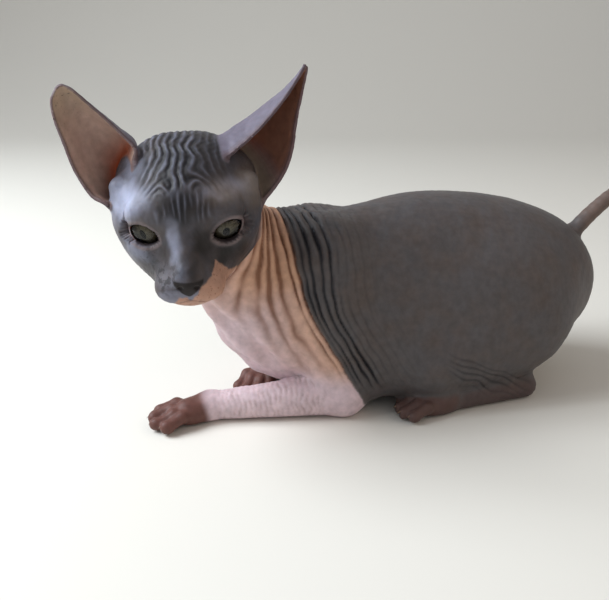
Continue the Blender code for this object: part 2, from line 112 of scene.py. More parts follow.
right, up, back = view_axes()
camera_place = LOOKED_AT + CAMERA_DISTANCE * np.array(back)
lens = bpy.data.cameras.new("camera")
lens.lens = LENS
lens.sensor_width = SENSOR
lens.clip_start = 0.01
camera = bpy.data.objects.new("camera", lens)
camera_turn = Matrix((right, up, back)).transposed().to_4x4()
camera.matrix_world = Matrix.Translation((camera_place + SLIDE) * MM) @ camera_turn
bpy.context.scene.collection.objects.link(camera)
bpy.context.scene.camera = camera
print("camera", (camera_place + SLIDE).round(), "mm")

# %% Lights
ROOM_LIGHT = 0.36


def soft_light(name, aim, distance, size, power, colour):
    """An area light that looks at the kitten's chest from a direction."""
    lamp = bpy.data.lights.new(name, "AREA")
    lamp.size = size
    lamp.energy = power
    lamp.color = colour
    light = bpy.data.objects.new(name, lamp)
    aim = Vector(aim).normalized()
    light.location = Vector((LOOKED_AT + SLIDE) * MM) + aim * distance
    light.rotation_euler = aim.to_track_quat("Z", "Y").to_euler()
    bpy.context.scene.collection.objects.link(light)


soft_light(
    "high_left", right * -0.95 + up * 0.8 + back * 0.25,
    distance=1.0, size=0.6, power=11.6, colour=(0.86, 0.93, 1.0),
)
soft_light(
    "fill", right * 0.9 + up * 0.45 + back * 0.5,
    distance=1.2, size=1.0, power=2.2, colour=(1.0, 0.78, 0.58),
)
soft_light(
    "low_left", right * -0.85 + up * 0.62 + back * 0.62,
    distance=0.9, size=0.3, power=2.2, colour=(0.88, 0.94, 1.0),
)

world = bpy.data.worlds.new("room")
world.use_nodes = True
room = world.node_tree.nodes["Background"]
room.inputs["Color"].default_value = (0.93, 0.95, 1.0, 1.0)
room.inputs["Strength"].default_value = ROOM_LIGHT
bpy.context.scene.world = world
bpy.context.scene.view_settings.view_transform = "Standard"

# %% [markdown]
# ## A way to write materials
# Shader maths reads best as sums. This small class wraps a node's output, so that `1 - mask` adds a Math node
# by itself, and `shade` makes any other node in one call.

# %% Sockets that can be added and multiplied


class Value:
    """A node's output that can be used in sums."""

    def __init__(self, tree, socket):
        self.tree = tree
        self.socket = socket

    def maths(self, operation, other, turned=False):
        pair = (other, self) if turned else (self, other)
        return self.tree.shade("ShaderNodeMath", {"operation": operation}, {0: pair[0], 1: pair[1]})

    def __add__(self, other):
        return self.maths("ADD", other)

    def __radd__(self, other):
        return self.maths("ADD", other)

    def __sub__(self, other):
        return self.maths("SUBTRACT", other)

    def __rsub__(self, other):
        return self.maths("SUBTRACT", other, turned=True)

    def __mul__(self, other):
        return self.maths("MULTIPLY", other)

    def __rmul__(self, other):
        return self.maths("MULTIPLY", other)


class Finish:
    """A material under construction."""

    def __init__(self, name):
        self.material = bpy.data.materials.new(name)
        self.material.use_nodes = True
        self.nodes = self.material.node_tree.nodes
        self.links = self.material.node_tree.links
        self.surface = self.nodes["Principled BSDF"]
        self.spot = self.shade("ShaderNodeTexCoord", output="Object")

    def put(self, socket, value):
        if isinstance(value, Value):
            self.links.new(value.socket, socket)
        else:
            socket.default_value = value

    def shade(self, kind, settings=None, sockets=None, output=0):
        node = self.nodes.new(kind)
        for name, value in (settings or {}).items():
            setattr(node, name, value)
        for name, value in (sockets or {}).items():
            self.put(node.inputs[name], value)
        return Value(self, node.outputs[output])

    def mask(self, name):
        return self.shade("ShaderNodeAttribute", {"attribute_name": name}, output="Fac")

    def mix(self, share, low, high):
        """Low where the share is 0, high where it is 1. Both are colours."""
        sockets = {"Factor": share, 6: low, 7: high}
        return self.shade("ShaderNodeMix", {"data_type": "RGBA"}, sockets, output=2)

    def times(self, colour, by):
        """A colour multiplied by a grey value."""
        grey = self.shade("ShaderNodeCombineColor", None, {0: by, 1: by, 2: by})
        sockets = {"Factor": 1.0, 6: colour, 7: grey}
        return self.shade("ShaderNodeMix", {"data_type": "RGBA", "blend_type": "MULTIPLY"}, sockets, output=2)

    def noise(self, scale, detail=3.0, roughness=0.55):
        sockets = {"Vector": self.spot, "Scale": scale, "Detail": detail, "Roughness": roughness}
        return self.shade("ShaderNodeTexNoise", None, sockets, output="Fac")

    def ranged(self, value, low, high, to_low=0.0, to_high=1.0):
        """The value's low to high spread over another range, and held at its ends."""
        sockets = {0: value, 1: low, 2: high, 3: to_low, 4: to_high}
        return self.shade("ShaderNodeMapRange", {"clamp": True}, sockets)

    def bump(self, height, distance, strength=1.0):
        sockets = {"Height": height, "Distance": distance, "Strength": strength}
        self.put(self.surface.inputs["Normal"], self.shade("ShaderNodeBump", None, sockets))

    def set(self, **values):
        for name, value in values.items():
            self.put(self.surface.inputs[name.replace("_", " ")], value)
        return self


# %% The floor, swept up behind into a plain wall
FLOOR_NEAR, FLOOR_FAR = -1.6, 0.9
SWEEP = 0.8
WALL_HEIGHT = 2.4
FLOOR_SIDE = 2.6
FLOOR_SINK = 0.0002


def made(name, points, faces):
    """An object with a mesh of these points and faces."""
    mesh = bpy.data.meshes.new(name)
    mesh.from_pydata([tuple(p) for p in points], [], faces)
    return linked(name, mesh)


def linked(name, mesh):
    obj = bpy.data.objects.new(name, mesh)
    bpy.context.scene.collection.objects.link(obj)
    return obj


def swept_floor():
    """Flat under the kitten, then a quarter turn up to a wall on the far side of the camera's view."""
    ahead = np.array((-back.x, -back.y, 0.0))
    ahead /= np.linalg.norm(ahead)
    beside = np.array((ahead[1], -ahead[0], 0.0))
    profile = [(FLOOR_NEAR, 0.0), (FLOOR_FAR, 0.0)]
    turns = np.radians(np.arange(3, 91, 3))
    profile += [(FLOOR_FAR + SWEEP * math.sin(a), SWEEP - SWEEP * math.cos(a)) for a in turns]
    profile += [(FLOOR_FAR + SWEEP, WALL_HEIGHT)]
    points = []
    for far, high in profile:
        points += [ahead * far + beside * side * FLOOR_SIDE + (0, 0, high - FLOOR_SINK) for side in (-1, 1)]
    faces = [(2 * i, 2 * i + 2, 2 * i + 3, 2 * i + 1) for i in range(len(profile) - 1)]
    floor = made("floor", points, faces)
    floor.data.shade_smooth()
    return floor


floor = swept_floor()
paper = Finish("pale_floor")
paper.set(Base_Color=(0.82, 0.79, 0.72, 1.0), Roughness=0.9)
floor.data.materials.append(paper.material)

# %% [markdown]
# ## Soft forms
# A living body has no flat faces and no straight edges. Here it is a sum of balls and tapered limbs, each
# with a signed distance, and the sums are rounded where two meet. A fine mesh is then drawn onto the place
# where the sum is zero, as clay is smoothed over an armature.

# %% Balls and limbs


def round_mesh(around=32, along=20):
    """A ball of radius 1 as points and faces."""
    points = [(0.0, 0.0, 1.0)]
    for ring in range(1, along):
        polar = math.pi * ring / along
        for step in range(around):
            turn = 2 * math.pi * step / around
            points.append((math.sin(polar) * math.cos(turn), math.sin(polar) * math.sin(turn), math.cos(polar)))
    points.append((0.0, 0.0, -1.0))
    last = len(points) - 1
    faces = [(0, 1 + i, 1 + (i + 1) % around) for i in range(around)]
    for ring in range(along - 2):
        first = 1 + ring * around
        for i in range(around):
            j = (i + 1) % around
            faces.append((first + i, first + around + i, first + around + j, first + j))
    first = 1 + (along - 2) * around
    faces += [(first + i, last, first + (i + 1) % around) for i in range(around)]
    return np.array(points), faces


ROUND = round_mesh()


class Ball:
    """An ellipsoid in millimetres: centre, three radii and an optional turn."""

    def __init__(self, centre, radii, turn=(0.0, 0.0, 0.0), blend=8):
        self.centre = np.array(centre, float)
        self.radii = np.array(radii, float)
        self.axes = np.array(Euler([math.radians(a) for a in turn]).to_matrix())
        self.blend = blend

    def distance(self, points):
        local = (points - self.centre) @ self.axes
        scaled = np.linalg.norm(local / self.radii, axis=1)
        steep = np.linalg.norm(local / self.radii**2, axis=1) + 1e-6
        return scaled * (scaled - 1.0) / steep

    def mirrored(self):
        flip = np.diag((-1.0, 1.0, 1.0))
        twin = Ball(self.centre * (-1, 1, 1), self.radii, blend=self.blend)
        twin.axes = flip @ self.axes @ flip
        return twin

    def turned(self, axes, place):
        twin = Ball(self.centre @ axes.T + place, self.radii, blend=self.blend)
        twin.axes = axes @ self.axes
        return twin

    def box(self):
        reach = self.radii.max()
        return self.centre - reach, self.centre + reach

    def rough(self):
        """Plain shapes that the fine mesh starts from: lists of points and faces."""
        return [(ROUND[0] * self.radii @ self.axes.T + self.centre, ROUND[1])]


class Limb:
    """A straight length of leg, neck or tail: two ends and a radius at each."""

    def __init__(self, start, end, start_radius, end_radius, blend=8):
        self.ends = np.array((start, end), float)
        self.widths = (start_radius, end_radius)
        self.blend = blend

    def share(self, points):
        along = self.ends[1] - self.ends[0]
        return np.clip((points - self.ends[0]) @ along / (along @ along), 0.0, 1.0)

    def distance(self, points):
        share = self.share(points)
        nearest = self.ends[0] + share[:, None] * (self.ends[1] - self.ends[0])
        radius = self.widths[0] + (self.widths[1] - self.widths[0]) * share
        return np.linalg.norm(points - nearest, axis=1) - radius

    def mirrored(self):
        flipped = self.ends * (-1, 1, 1)
        return Limb(*flipped, *self.widths, self.blend)

    def turned(self, axes, place):
        moved = self.ends @ axes.T + place
        return Limb(*moved, *self.widths, self.blend)

    def box(self):
        reach = max(self.widths)
        return self.ends.min(0) - reach, self.ends.max(0) + reach

    def rough(self):
        """A ball at each end, and a string of balls stretched between them."""
        start, end = self.ends
        axes = np.array(Vector(end - start).to_track_quat("Z", "Y").to_matrix())
        shapes = [(ROUND[0] * radius + spot, ROUND[1]) for spot, radius in zip(self.ends, self.widths)]
        length = np.linalg.norm(end - start)
        tube = ROUND[0].copy()
        upper = tube[:, 2] > 0
        tube[:, :2] /= np.linalg.norm(tube[:, :2], axis=1, keepdims=True) + 1e-9
        flat = np.linalg.norm(ROUND[0][:, :2], axis=1) < 1e-6
        tube[flat, :2] = 0.0
        tube[:, :2] *= np.where(upper, self.widths[1], self.widths[0])[:, None] * 0.98
        tube[:, 2] = np.where(upper, length, 0.0)
        shapes.append((tube @ axes.T + start, ROUND[1]))
        return shapes


def bell(value, width):
    """1 at zero, falling away over about that width."""
    return np.exp(-((value / width) ** 2))


def ramp(value, low, high):
    """0 below low, 1 above high, smooth between. Low may be the greater, which turns it round."""
    t = np.clip((value - low) / (high - low), 0.0, 1.0)
    return t * t * (3 - 2 * t)


def both_sides(*forms):
    return [twin for form in forms for twin in (form, form.mirrored())]


# %% Rounded sums


def fused(one, other, blend):
    """The nearer of two distances, rounded where they are about equal."""
    overlap = np.maximum(blend - np.abs(one - other), 0.0) / blend
    return np.minimum(one, other) - overlap**2 * blend / 4


class Group:
    """Forms that are fused with each other, looked at only from near by."""

    MARGIN = 14.0

    def __init__(self, forms, blend):
        self.forms = forms
        self.blend = blend
        boxes = np.array([form.box() for form in forms])
        self.low = boxes[:, 0].min(0) - self.MARGIN
        self.high = boxes[:, 1].max(0) + self.MARGIN

    def near(self, points):
        return np.all((points > self.low) & (points < self.high), axis=1)

    def distance(self, points):
        near = self.near(points)
        total = np.full(len(points), 2.0 * self.MARGIN)
        if near.any():
            close = points[near]
            sum_so_far = self.forms[0].distance(close)
            for form in self.forms[1:]:
                sum_so_far = fused(sum_so_far, form.distance(close), form.blend)
            total[near] = sum_so_far
        return total


# %% [markdown]
# ## The body's forms
# The numbers repeat the solid model's: a deep chest, an egg-shaped belly that hangs to the floor, the rump,
# a short neck, and folded legs. The thin tail is one chain of small limbs along a smooth path.

# %% Trunk, legs and neck
SHOULDER = np.array((17.0, -46.0, 76.0))
ELBOWS = {1: (27, -40, 10.2), -1: (-27, -28, 10.2)}
WRISTS = {1: (16.5, -103, 6.5), -1: (-20, -67, 6.5)}
HEEL = (34, 55, 5.9)
HIND_TOES = (38.5, 8, 4.9)
FLIP = np.array((-1.0, 1.0, 1.0))
forearms = {side: Limb(ELBOWS[side], WRISTS[side], 10.5, 6.8, 4) for side in (1, -1)}
trunk = Group(
    [
        Ball((0, -56, 50), (29, 36, 42)),
        Ball((0, 8, 54), (39, 62, 47), blend=30),
        Ball((0, 60, 51), (36, 46.5, 38.5), blend=30),
        Limb((0, -58, 60), (5, -99, 90), 27, 21, 18),
        Limb((2, -80, 50), (6, -97, 78), 17, 16, 14),
        *both_sides(
            Ball((25, 38, 42), (20, 41, 36), (18, 0, 0), blend=14),
            Ball((20, -12, 29), (19, 32, 25), blend=20),
            Limb((26, 54, 38), (33, 4, 22), 20, 14, 12),
            Limb(HEEL, HIND_TOES, 6.4, 5.4, 6),
        ),
        Limb(SHOULDER, ELBOWS[1], 17, 11, 12),
        Limb(SHOULDER * FLIP, ELBOWS[-1], 17, 11, 12),
        forearms[1],
        forearms[-1],
    ],
    blend=0,
)

# %% Paws
PAWS = {
    "forepaw_left": ((16, -105, 0), 8, 20, 26),
    "forepaw_right": ((-19, -68, 0), 58, 19, 24),
    "hind_paw_left": ((39, 10, 0), 3, 18, 25),
    "hind_paw_right": ((-39, 10, 0), -3, 18, 25),
}
TOES = ((-0.38, 0.80), (-0.14, 0.95), (0.14, 0.97), (0.38, 0.84))


def paw_axes(turn):
    return np.array(Matrix.Rotation(math.radians(turn), 3, "Z"))


def paw_group(place, turn, width, length):
    """Four toes spread from a palm, each with a raised knuckle and a rounded end."""
    forms = [Ball((0, -0.32 * length, 4.8), (0.40 * width, 0.38 * length, 5.4), blend=3)]
    forms.append(Limb((0, 0, 7.0), (0, -0.35 * length, 6.4), 6.2, 5.2, 4))
    for share, reach in TOES:
        root = (share * width * 0.60, -0.30 * length, 5.6)
        knuckle = (share * width * 0.92, -(reach - 0.30) * length, 6.5)
        tip = (share * width * 1.12, -reach * length, 3.7)
        forms.append(Limb(root, knuckle, 0.120 * width, 0.148 * width, 1.5))
        forms.append(Limb(knuckle, tip, 0.148 * width, 0.135 * width, 1.2))
        forms.append(Ball(tip, (0.155 * width, 0.175 * width, 0.155 * width), blend=1.0))
    return Group([form.turned(paw_axes(turn), np.array(place)) for form in forms], blend=4)


paws = {name: paw_group(*measures) for name, measures in PAWS.items()}

# %% Tail
TAIL_WAY = ((0, 92, 70), (0, 108, 86), (1, 124, 97), (6, 140, 97), (14, 153, 82), (22, 160, 58),
            (29, 161, 32), (38, 156, 11), (49, 143, 3.2), (57, 126, 2.4), (58, 110, 1.6))


def way_point(way, share):
    """A point that share of the way along, by Catmull-Rom through the way's points."""
    spans = len(way) - 1
    index = min(int(share * spans), spans - 1)
    t = share * spans - index
    a, b, c, d = [np.array(way[min(max(index + k, 0), spans)], float) for k in (-1, 0, 1, 2)]
    return 0.5 * (2 * b + (c - a) * t + (2 * a - 5 * b + 4 * c - d) * t**2 + (3 * b - a - 3 * c + d) * t**3)


def tail_radius(share):
    return 4.4 - 3.1 * share**0.8


TAIL_STEPS = 48
tail_shares = [i / TAIL_STEPS for i in range(TAIL_STEPS + 1)]
tail_spots = [way_point(TAIL_WAY, share) for share in tail_shares]
tail = Group(
    [
        Limb(tail_spots[i], tail_spots[i + 1], tail_radius(tail_shares[i]), tail_radius(tail_shares[i + 1]), 0.5)
        for i in range(TAIL_STEPS)
    ],
    blend=4,
)
print("trunk forms", len(trunk.forms), "toes", 4 * len(paws), "tail lengths", len(tail.forms))

# %% [markdown]
# ## The head's forms
# A kitten's skull is short and round, the muzzle is a small box with two pads and a chin, and the cheekbones
# stand out under bare skin. The openings for the eyes and nostrils are taken away from the sum in the same
# rounded way, which gives the lids their soft edge.

# %% Skull, muzzle and cheeks
skull = Group(
    [
        Ball((0, 24, 4), (26.5, 29, 27)),
        *both_sides(
            Ball((10, 25, 12.8), (12.5, 20, 13.8), blend=10),
            Limb((17, 26, 8), (22, 27, 14), 8, 6, 8),
            Limb((23, 11, 2), (27.5, 13.5, 15), 6, 3.2, 7),
            Ball((18.5, 19, -1), (11.5, 16, 14), blend=10),
            Ball((15.8, 8, -7), (10, 14, 10), blend=9),
            Ball((9, -1, -8.5), (6, 8, 7), blend=6),
            Limb((15.5, 12, -16), (6.0, -7, -22.0), 8.5, 6.0, 8),
            Ball(eye_middle(1), (EYE_RADIUS + 1.2,) * 3, blend=4),
            Limb((7.0, -4.5, 9.5), (19, -0.5, 10), 4.2, 3.8, 6),
        ),
        Ball((0, 6, 12), (17, 14, 13), blend=10),
        Limb((0, 0, 2), (0, -16.0, -10.5), 8.6, 5.8, 8),
        Ball((0, -9.5, -17), (11.5, 11, 8), blend=8),
        *both_sides(Ball((6.2, -14.0, -18.4), (8.0, 7.6, 5.8), blend=4)),
        Ball((0, -9.5, -23.4), (7.6, 7.4, 5.0), blend=4),
        Ball((0, -20.0, -13.0), (6.0, 3.2, 3.8), blend=2.5),
    ],
    blend=7,
)
nostrils = [Ball((side * 3.7, -23.2, -13.9), (1.5, 1.7, 0.8), (0, side * 28, side * 22)) for side in (1, -1)]

# %% Eye openings
EYE_OPENING = (13.4, 8.8)
LID_TILT = 16
LID_REACH = 1.6


def eye_axes(side):
    """The lids' own axes: across, depth with -Y forward, and up, as columns."""
    turn = Euler((math.radians(-9), 0, math.radians(13 * side))).to_matrix()
    tilt = Matrix.Rotation(math.radians(-LID_TILT * side), 3, "Y")
    return np.array(turn @ tilt)


def lid_gap(side, local):
    """How far points on the head's axes are outside the almond between the lids, and outside the eyeball."""
    seen = (local - eye_middle(side)) @ eye_axes(side)
    half, rise = EYE_OPENING[0] / 2, EYE_OPENING[1] / 2
    radius = (half**2 + rise**2) / (2 * rise)
    drop = radius - rise
    upper = np.hypot(seen[:, 0], seen[:, 2] + drop) - radius
    lower = np.hypot(seen[:, 0], seen[:, 2] - drop) - radius
    almond = np.maximum(upper, lower)
    ball = np.linalg.norm(seen, axis=1) - (EYE_RADIUS + 0.12)
    return almond, ball, seen


def face_distance(local):
    """The head's distance on its own axes, less the openings."""
    total = skull.distance(local)
    for side in (1, -1):
        near = np.linalg.norm(local - eye_middle(side), axis=1) < EYE_RADIUS + 8
        if near.any():
            almond, ball, seen = lid_gap(side, local[near])
            opening = np.minimum(np.maximum(almond, seen[:, 1] + 2.0), np.maximum(ball, almond - LID_REACH))
            total[near] = -fused(-total[near], opening, 1.1)
    near = local[:, 1] < -15
    for nostril in nostrils:
        if near.any():
            total[near] = -fused(-total[near], nostril.distance(local[near]), 1.0)
    return total


# %% [markdown]
# ## Ears
# A sphynx's ear is a thin sheet, rolled into a cup. Each row of the sheet is an arc from the inner rim, by
# the back, to the outer rim, and those three lines are what the picture shows, so they are what we write
# down. The finished skin keeps half a sheet's thickness from this middle surface, on both sides.

# %% Ear sheets
EARS = {
    "right": (
        ((-15, 14, 14), (-19.4, 13, 23.6), (-18.2, 15, 29.9), (-22.7, 17.5, 35.3), (-28.4, 19, 41.7),
         (-34.5, 20.5, 47.8), (-40, 21.5, 53.4), (-43.5, 21.5, 55.6)),
        ((-21, 32, 6), (-28.7, 31, 13.6), (-29.2, 34, 22.5), (-34.4, 33, 31.3), (-38.8, 30.5, 40),
         (-42, 27, 47), (-44, 24, 52.4), (-44.7, 22, 55.5)),
        ((-26, 11, 0), (-32.2, 9, 9.4), (-38.2, 12, 12), (-43.7, 16, 21), (-46.8, 18.5, 33),
         (-48.8, 20, 41.6), (-49, 21, 49.4), (-45.9, 21.5, 54.9)),
    ),
    "left": (
        ((12, 15, 14), (15.9, 13, 22.9), (22.4, 15, 27.4), (29.3, 18, 31.9), (36.3, 21, 37.7),
         (43.4, 24, 44.8), (49.5, 27, 52.3), (52.9, 29, 57.7)),
        ((18, 33, 9), (20.1, 35, 19.6), (25.9, 39, 26.4), (32.3, 41, 31.7), (38.9, 39, 38.6),
         (44.4, 36, 44.2), (49.3, 33, 50.5), (52.8, 30.5, 56.4)),
        ((26, 13, -4), (31.1, 12, 3.2), (41.6, 18, 13.7), (46, 21, 23.2), (47.9, 24, 32.5),
         (49.8, 27, 40), (51.9, 29, 47.8), (54, 30, 56.5)),
    ),
}
EAR_WRAPS = ((0.0, 0.14, 0.28, 0.43, 0.57, 0.71, 0.86, 1.0), (120, 112, 96, 80, 66, 54, 42, 30))
EAR_ROWS = 56
EAR_COLUMNS = 48
EAR_HALF_THICKNESS = 0.65
EAR_BLEND = 2.6
ROOT_WIDTH = 0.55
ROOT_ROWS = 0.13


class Ear:
    """The cupped sheet: nearest points on it, with the share of its height and of its width."""

    def __init__(self, ways):
        spots = []
        for row in range(EAR_ROWS + 1):
            share = row / EAR_ROWS
            inner, middle, outer = [way_point(way, share) for way in ways]
            wrap = math.radians(float(np.interp(share, *EAR_WRAPS)))
            angles = wrap * np.linspace(-1, 1, EAR_COLUMNS + 1)[:, None]
            across = (outer - inner) / 2 * np.sin(angles) / math.sin(wrap)
            forward = ((inner + outer) / 2 - middle) * (1 - np.cos(angles)) / (1 - math.cos(wrap))
            row_spots = middle + across + forward
            rooted = ROOT_WIDTH + (1 - ROOT_WIDTH) * float(ramp(np.array(share), 0.0, ROOT_ROWS))
            spots.append(row_spots.mean(0) + rooted * (row_spots - row_spots.mean(0)))
        self.spots = np.array(spots)
        count = EAR_COLUMNS + 1
        faces = []
        for row in range(EAR_ROWS):
            for column in range(EAR_COLUMNS):
                first = row * count + column
                faces.append((first, first + 1, first + 1 + count, first + count))
        self.faces = faces
        flat = self.spots.reshape(-1, 3)
        self.tree = BVHTree.FromPolygons([Vector(p) for p in flat], faces)
        self.low = flat.min(0) - 6
        self.high = flat.max(0) + 6

    def near(self, local):
        return np.all((local > self.low) & (local < self.high), axis=1)

    def nearest(self, local):
        """Offsets from the sheet, its normals there, and the row and column shares."""
        found = [self.tree.find_nearest(p) for p in local.tolist()]
        spots = np.array([f[0] for f in found])
        normals = np.array([f[1] for f in found])
        index = np.array([f[2] for f in found])
        rows = (index // EAR_COLUMNS + 0.5) / EAR_ROWS
        columns = 2 * (index % EAR_COLUMNS + 0.5) / EAR_COLUMNS - 1
        return local - spots, normals, rows, columns

    def distance(self, local):
        """Distance to the ear's skin and the way that it grows."""
        offset, _, rows, _ = self.nearest(local)
        length = np.linalg.norm(offset, axis=1)
        thickness = EAR_HALF_THICKNESS * (1.5 - 0.6 * np.clip(rows / 0.4, 0, 1))
        return length - thickness, offset / (length[:, None] + 1e-9)

    def rough(self):
        """The sheet with its two sides drawn apart, closed round its rim."""
        across = np.gradient(self.spots, axis=1)
        upward = np.gradient(self.spots, axis=0)
        normals = np.cross(across, upward)
        normals /= np.linalg.norm(normals, axis=2, keepdims=True)
        sides = [(self.spots + way * 1.1 * EAR_HALF_THICKNESS * normals).reshape(-1, 3) for way in (1, -1)]
        count = EAR_COLUMNS + 1
        shift = len(sides[0])
        faces = list(self.faces) + [tuple(shift + i for i in reversed(face)) for face in self.faces]
        rim = list(range(count))
        rim += [row * count + count - 1 for row in range(1, EAR_ROWS + 1)]
        rim += [EAR_ROWS * count + i for i in range(count - 2, -1, -1)]
        rim += [row * count for row in range(EAR_ROWS - 1, 0, -1)]
        for here, there in zip(rim, rim[1:] + rim[:1]):
            faces.append((there, here, here + shift, there + shift))
        return [(np.concatenate(sides), faces)]


ears = {name: Ear(ways) for name, ways in EARS.items()}

# %% [markdown]
# ## Drawing a mesh onto the forms
# Each point steps along the slope of the distance until it lies on the skin. The slope comes from small
# steps along the three axes, apart from the ears', where the nearest point of the sheet gives it at once.

# %% The whole body's distance


def whole_distance(points):
    """Signed distance to the kitten without its ears."""
    total = trunk.distance(points)
    for group in (*paws.values(), tail):
        near = group.near(points)
        if near.any():
            total[near] = fused(total[near], group.distance(points[near]), group.blend)
    local = to_head(points)
    near = skull.near(local)
    if near.any():
        total[near] = fused(total[near], face_distance(local[near]), skull.blend)
    return total


def distance_and_slope(points):
    step = 0.01
    here = whole_distance(points)
    slope = np.stack([(whole_distance(points + step * axis) - here) / step for axis in np.eye(3)], axis=1)
    local = to_head(points)
    for ear in ears.values():
        near = ear.near(local)
        if not near.any():
            continue
        reach, growth = ear.distance(local[near])
        growth = growth @ HEAD_AXES.T
        body = here[near]
        overlap = np.maximum(EAR_BLEND - np.abs(body - reach), 0.0) / EAR_BLEND
        share = np.where(body < reach, 1 - overlap / 2, overlap / 2)[:, None]
        here[near] = np.minimum(body, reach) - overlap**2 * EAR_BLEND / 4
        slope[near] = share * slope[near] + (1 - share) * growth
    return here, slope


LONGEST_MOVE = 2.0
LEAST_SLOPE = 0.2


def drawn(points, rounds):
    """Points moved onto the skin."""
    for _ in range(rounds):
        here, slope = distance_and_slope(points)
        move = here[:, None] * slope / np.maximum((slope**2).sum(axis=1), LEAST_SLOPE)[:, None]
        far = np.linalg.norm(move, axis=1, keepdims=True)
        points = points - move * np.minimum(1.0, LONGEST_MOVE / (far + 1e-9))
    return points


def relaxed(points, edges, rounds):
    """Evens out the spacing of a mesh's points."""
    count = np.bincount(edges.ravel(), minlength=len(points))[:, None]
    for _ in range(rounds):
        total = np.empty_like(points)
        for axis in range(3):
            ahead = np.bincount(edges[:, 0], points[edges[:, 1], axis], len(points))
            total[:, axis] = ahead + np.bincount(edges[:, 1], points[edges[:, 0], axis], len(points))
        points = 0.5 * points + 0.5 * total / count
    return points


# %% Mesh helpers


def settled(obj):
    """Replaces the object's mesh by its evaluated one."""
    mesh = bpy.data.meshes.new_from_object(obj.evaluated_get(bpy.context.evaluated_depsgraph_get()))
    obj.modifiers.clear()
    obj.data = mesh
    return obj


def revoxelled(obj, size):
    """One closed even mesh round everything in the object."""
    fuse = obj.modifiers.new("fuse", "REMESH")
    fuse.mode = "VOXEL"
    fuse.voxel_size = size
    return settled(obj)


def points_of(mesh):
    flat = np.empty(len(mesh.vertices) * 3, np.float32)
    mesh.vertices.foreach_get("co", flat)
    return flat.reshape(-1, 3).astype(float)


def normals_of(mesh):
    flat = np.empty(len(mesh.vertices) * 3, np.float32)
    mesh.vertices.foreach_get("normal", flat)
    return flat.reshape(-1, 3).astype(float)


def set_points(mesh, points):
    mesh.vertices.foreach_set("co", points.astype(np.float32).ravel())
    mesh.update()


def edges_of(mesh):
    flat = np.empty(len(mesh.edges) * 2, np.int32)
    mesh.edges.foreach_get("vertices", flat)
    return flat.reshape(-1, 2)


def drawn_skin(obj, size, first=3, then=2):
    """A fine mesh of the object's shape, drawn onto the forms and evened out."""
    mesh = revoxelled(obj, size).data
    edges = edges_of(mesh)
    points = drawn(relaxed(points_of(mesh), edges, 4), first)
    points = drawn(relaxed(points, edges, 2), then)
    set_points(mesh, points)
    return obj


# %% [markdown]
# ## Two blanks
# The head needs a much finer mesh than the body, so the skin is made as two blanks that meet on one plane
# across the neck. Both are drawn onto the same forms, so the meeting can't be seen.

# %% The head's blank
HEAD_VOXEL = 0.53
BODY_VOXEL = 0.78
LID_STEPS = 48


def lens_prism(side, grown, start, end):
    """The almond between the lids, grown outwards and drawn out along the eye's axis."""
    half, rise = EYE_OPENING[0] / 2, EYE_OPENING[1] / 2
    radius = (half**2 + rise**2) / (2 * rise)
    drop = radius - rise
    radius += grown
    half = math.sqrt(radius**2 - drop**2)
    points = []
    for depth in (start, end):
        for step in range(LID_STEPS):
            angle = 2 * math.pi * step / LID_STEPS
            across = math.cos(angle) * half
            height = math.sqrt(max(radius**2 - across**2, 0.0)) - drop
            points.append((across, -depth, math.copysign(max(height, 0.0) + 0.05, math.sin(angle))))
    faces = [(i, (i + 1) % LID_STEPS, LID_STEPS + (i + 1) % LID_STEPS, LID_STEPS + i) for i in range(LID_STEPS)]
    faces += [tuple(range(LID_STEPS - 1, -1, -1)), tuple(range(LID_STEPS, 2 * LID_STEPS))]
    gap = made("eye_gap", np.array(points) @ eye_axes(side).T + eye_middle(side), faces)
    solid = bmesh.new()
    solid.from_mesh(gap.data)
    bmesh.ops.recalc_face_normals(solid, faces=solid.faces)
    solid.to_mesh(gap.data)
    solid.free()
    return gap


def eye_cutter(side):
    """The eyeball's room behind the lids, and the almond in front of it."""
    room = made("eye_room", ROUND[0] * EYE_RADIUS + eye_middle(side), ROUND[1])
    boolean(room, lens_prism(side, LID_REACH, -2.0, EYE_RADIUS + 1), "INTERSECT")
    return boolean(room, lens_prism(side, 0.0, 0.4 * EYE_RADIUS, EYE_RADIUS + 9), "UNION")


def boolean(obj, other, operation):
    change = obj.modifiers.new("change", "BOOLEAN")
    change.operation = operation
    change.solver = "MANIFOLD"
    change.object = other
    settled(obj)
    bpy.data.objects.remove(other)
    return obj


def blank_of(name, forms):
    """All the forms' rough shapes in one object, not yet joined."""
    points = []
    faces = []
    total = 0
    for form in forms:
        for shape_points, shape_faces in form.rough():
            points.append(shape_points)
            faces += [tuple(total + i for i in face) for face in shape_faces]
            total += len(shape_points)
    return made(name, np.concatenate(points), faces)


def joined(obj, other):
    """The other object's mesh added to this one's."""
    both = bmesh.new()
    both.from_mesh(obj.data)
    both.from_mesh(other.data)
    both.to_mesh(obj.data)
    both.free()
    bpy.data.objects.remove(other)
    return obj


HEAD_START_VOXEL = 0.9
NECK_FORMS = (3, 4)
head_blank = revoxelled(blank_of("head_blank", skull.forms), HEAD_START_VOXEL)
for side in (1, -1):
    boolean(head_blank, eye_cutter(side), "DIFFERENCE")
neck_forms = [trunk.forms[i].turned(HEAD_AXES.T, to_head(np.zeros(3))) for i in NECK_FORMS]
joined(head_blank, blank_of("ears_and_neck", [*ears.values(), *neck_forms]))
head_blank.data.transform(Matrix.LocRotScale(Vector(HEAD_PLACE), Matrix(HEAD_AXES).to_quaternion(), None))
drawn_skin(head_blank, HEAD_VOXEL)
print("head blank", len(head_blank.data.vertices), "points")

